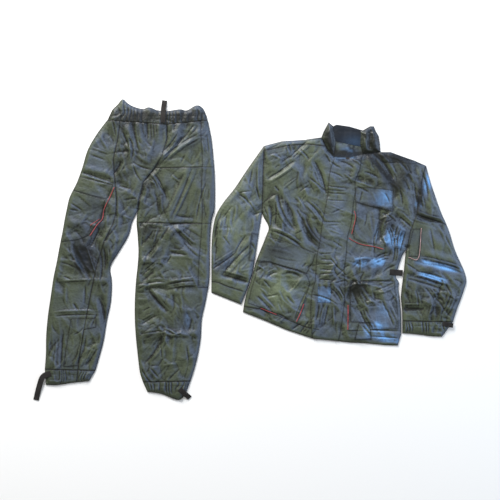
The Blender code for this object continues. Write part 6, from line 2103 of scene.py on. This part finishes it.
def back_collar(collar, region, looks):
    """The inside of the collar's back: one layer, flat on the surface."""
    triangles = region.triangles
    flat, top = region.flat, region.z
    verts, faces = shell(flat, top, np.zeros(len(top)), triangles)
    # the lining's dark colour with painted shade inside the collar, and tone that differs at random
    colours = np.tile(LINING_WITH_PAINTED_SHADE, (len(flat), 1)) * (
        1 + 0.25 * value_noise(flat, 30, 5)[:, None] + 0.15 * value_noise(flat, 9, 6)[:, None])
    # a painted blue glint on the lining
    glint = np.exp(-((flat[:, 0] - 70) / 40) ** 2 - ((flat[:, 1] - 385) / 24) ** 2)[:, None]
    colours = colours + (PAINTED_BLUE_REFLECTION * 0.4 - colours) * 0.4 * glint
    obj = new_mesh("collar_back_cloth", verts + collar.offset, faces, looks["lining"],
                   np.concatenate([colours, colours]))
    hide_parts("collar_back")
    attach(obj, "root")


def area_light(name, place, aim, size, power, colour):
    lamp = bpy.data.lights.new(name, "AREA")
    lamp.shape = "RECTANGLE"
    lamp.size, lamp.size_y = size
    lamp.energy = power
    lamp.color = colour
    obj = bpy.data.objects.new(name, lamp)
    obj.location = place
    obj.rotation_euler = (Vector(aim) - Vector(place)).to_track_quat("-Z", "Y").to_euler()
    bpy.context.scene.collection.objects.link(obj)


def make_studio():
    mesh = bpy.data.meshes.new("studio_floor")
    mesh.from_pydata([(-15, -15, 0), (15, -15, 0), (15, 15, 0), (-15, 15, 0)], [], [(0, 1, 2, 3)])
    pale = bpy.data.materials.new("pale_floor")
    pale.use_nodes = True
    tree = pale.node_tree
    shader = tree.nodes["Principled BSDF"]
    shader.inputs["Base Color"].default_value = (0.86, 0.86, 0.86, 1)
    shader.inputs["Roughness"].default_value = 0.9
    mesh.materials.append(pale)
    floor = bpy.data.objects.new("studio_floor", mesh)
    bpy.context.scene.collection.objects.link(floor)
    floor.location = (0, 0, -0.0005)
    world = bpy.data.worlds.new("studio_world")
    world.use_nodes = True
    world.node_tree.nodes["Background"].inputs["Color"].default_value = (1.0, 1.0, 1.0, 1)
    world.node_tree.nodes["Background"].inputs["Strength"].default_value = 0.35
    bpy.context.scene.world = world
    area_light("overhead_light", (0, 0, 5.0), (0, 0, 0), (2.0, 2.0), 24, (1.0, 1.0, 1.0))
    area_light("key_light", (-1.7, 3.2, 2.2), (0, 0, 0), (1.9, 1.9), 300, (1.0, 0.99, 0.97))
    area_light("blue_window", (3.4, 0.4, 1.6), (0.3, 0, 0), (1.0, 1.8), 60, (0.66, 0.82, 1.0))

    camera = bpy.data.cameras.new("camera")
    camera.lens = 85
    camera.sensor_width = 36
    camera.clip_end = 50
    view = bpy.data.objects.new("camera", camera)
    view.location = (-0.0004, 0, 4.25)
    bpy.context.scene.collection.objects.link(view)
    bpy.context.scene.camera = view
    bpy.context.scene.view_settings.view_transform = "Standard"


make_trousers({**LOOKS, "nylon": LOOKS["soft_nylon"], "nylon_blue": LOOKS["soft_nylon"]})
make_jacket(LOOKS)
make_studio()
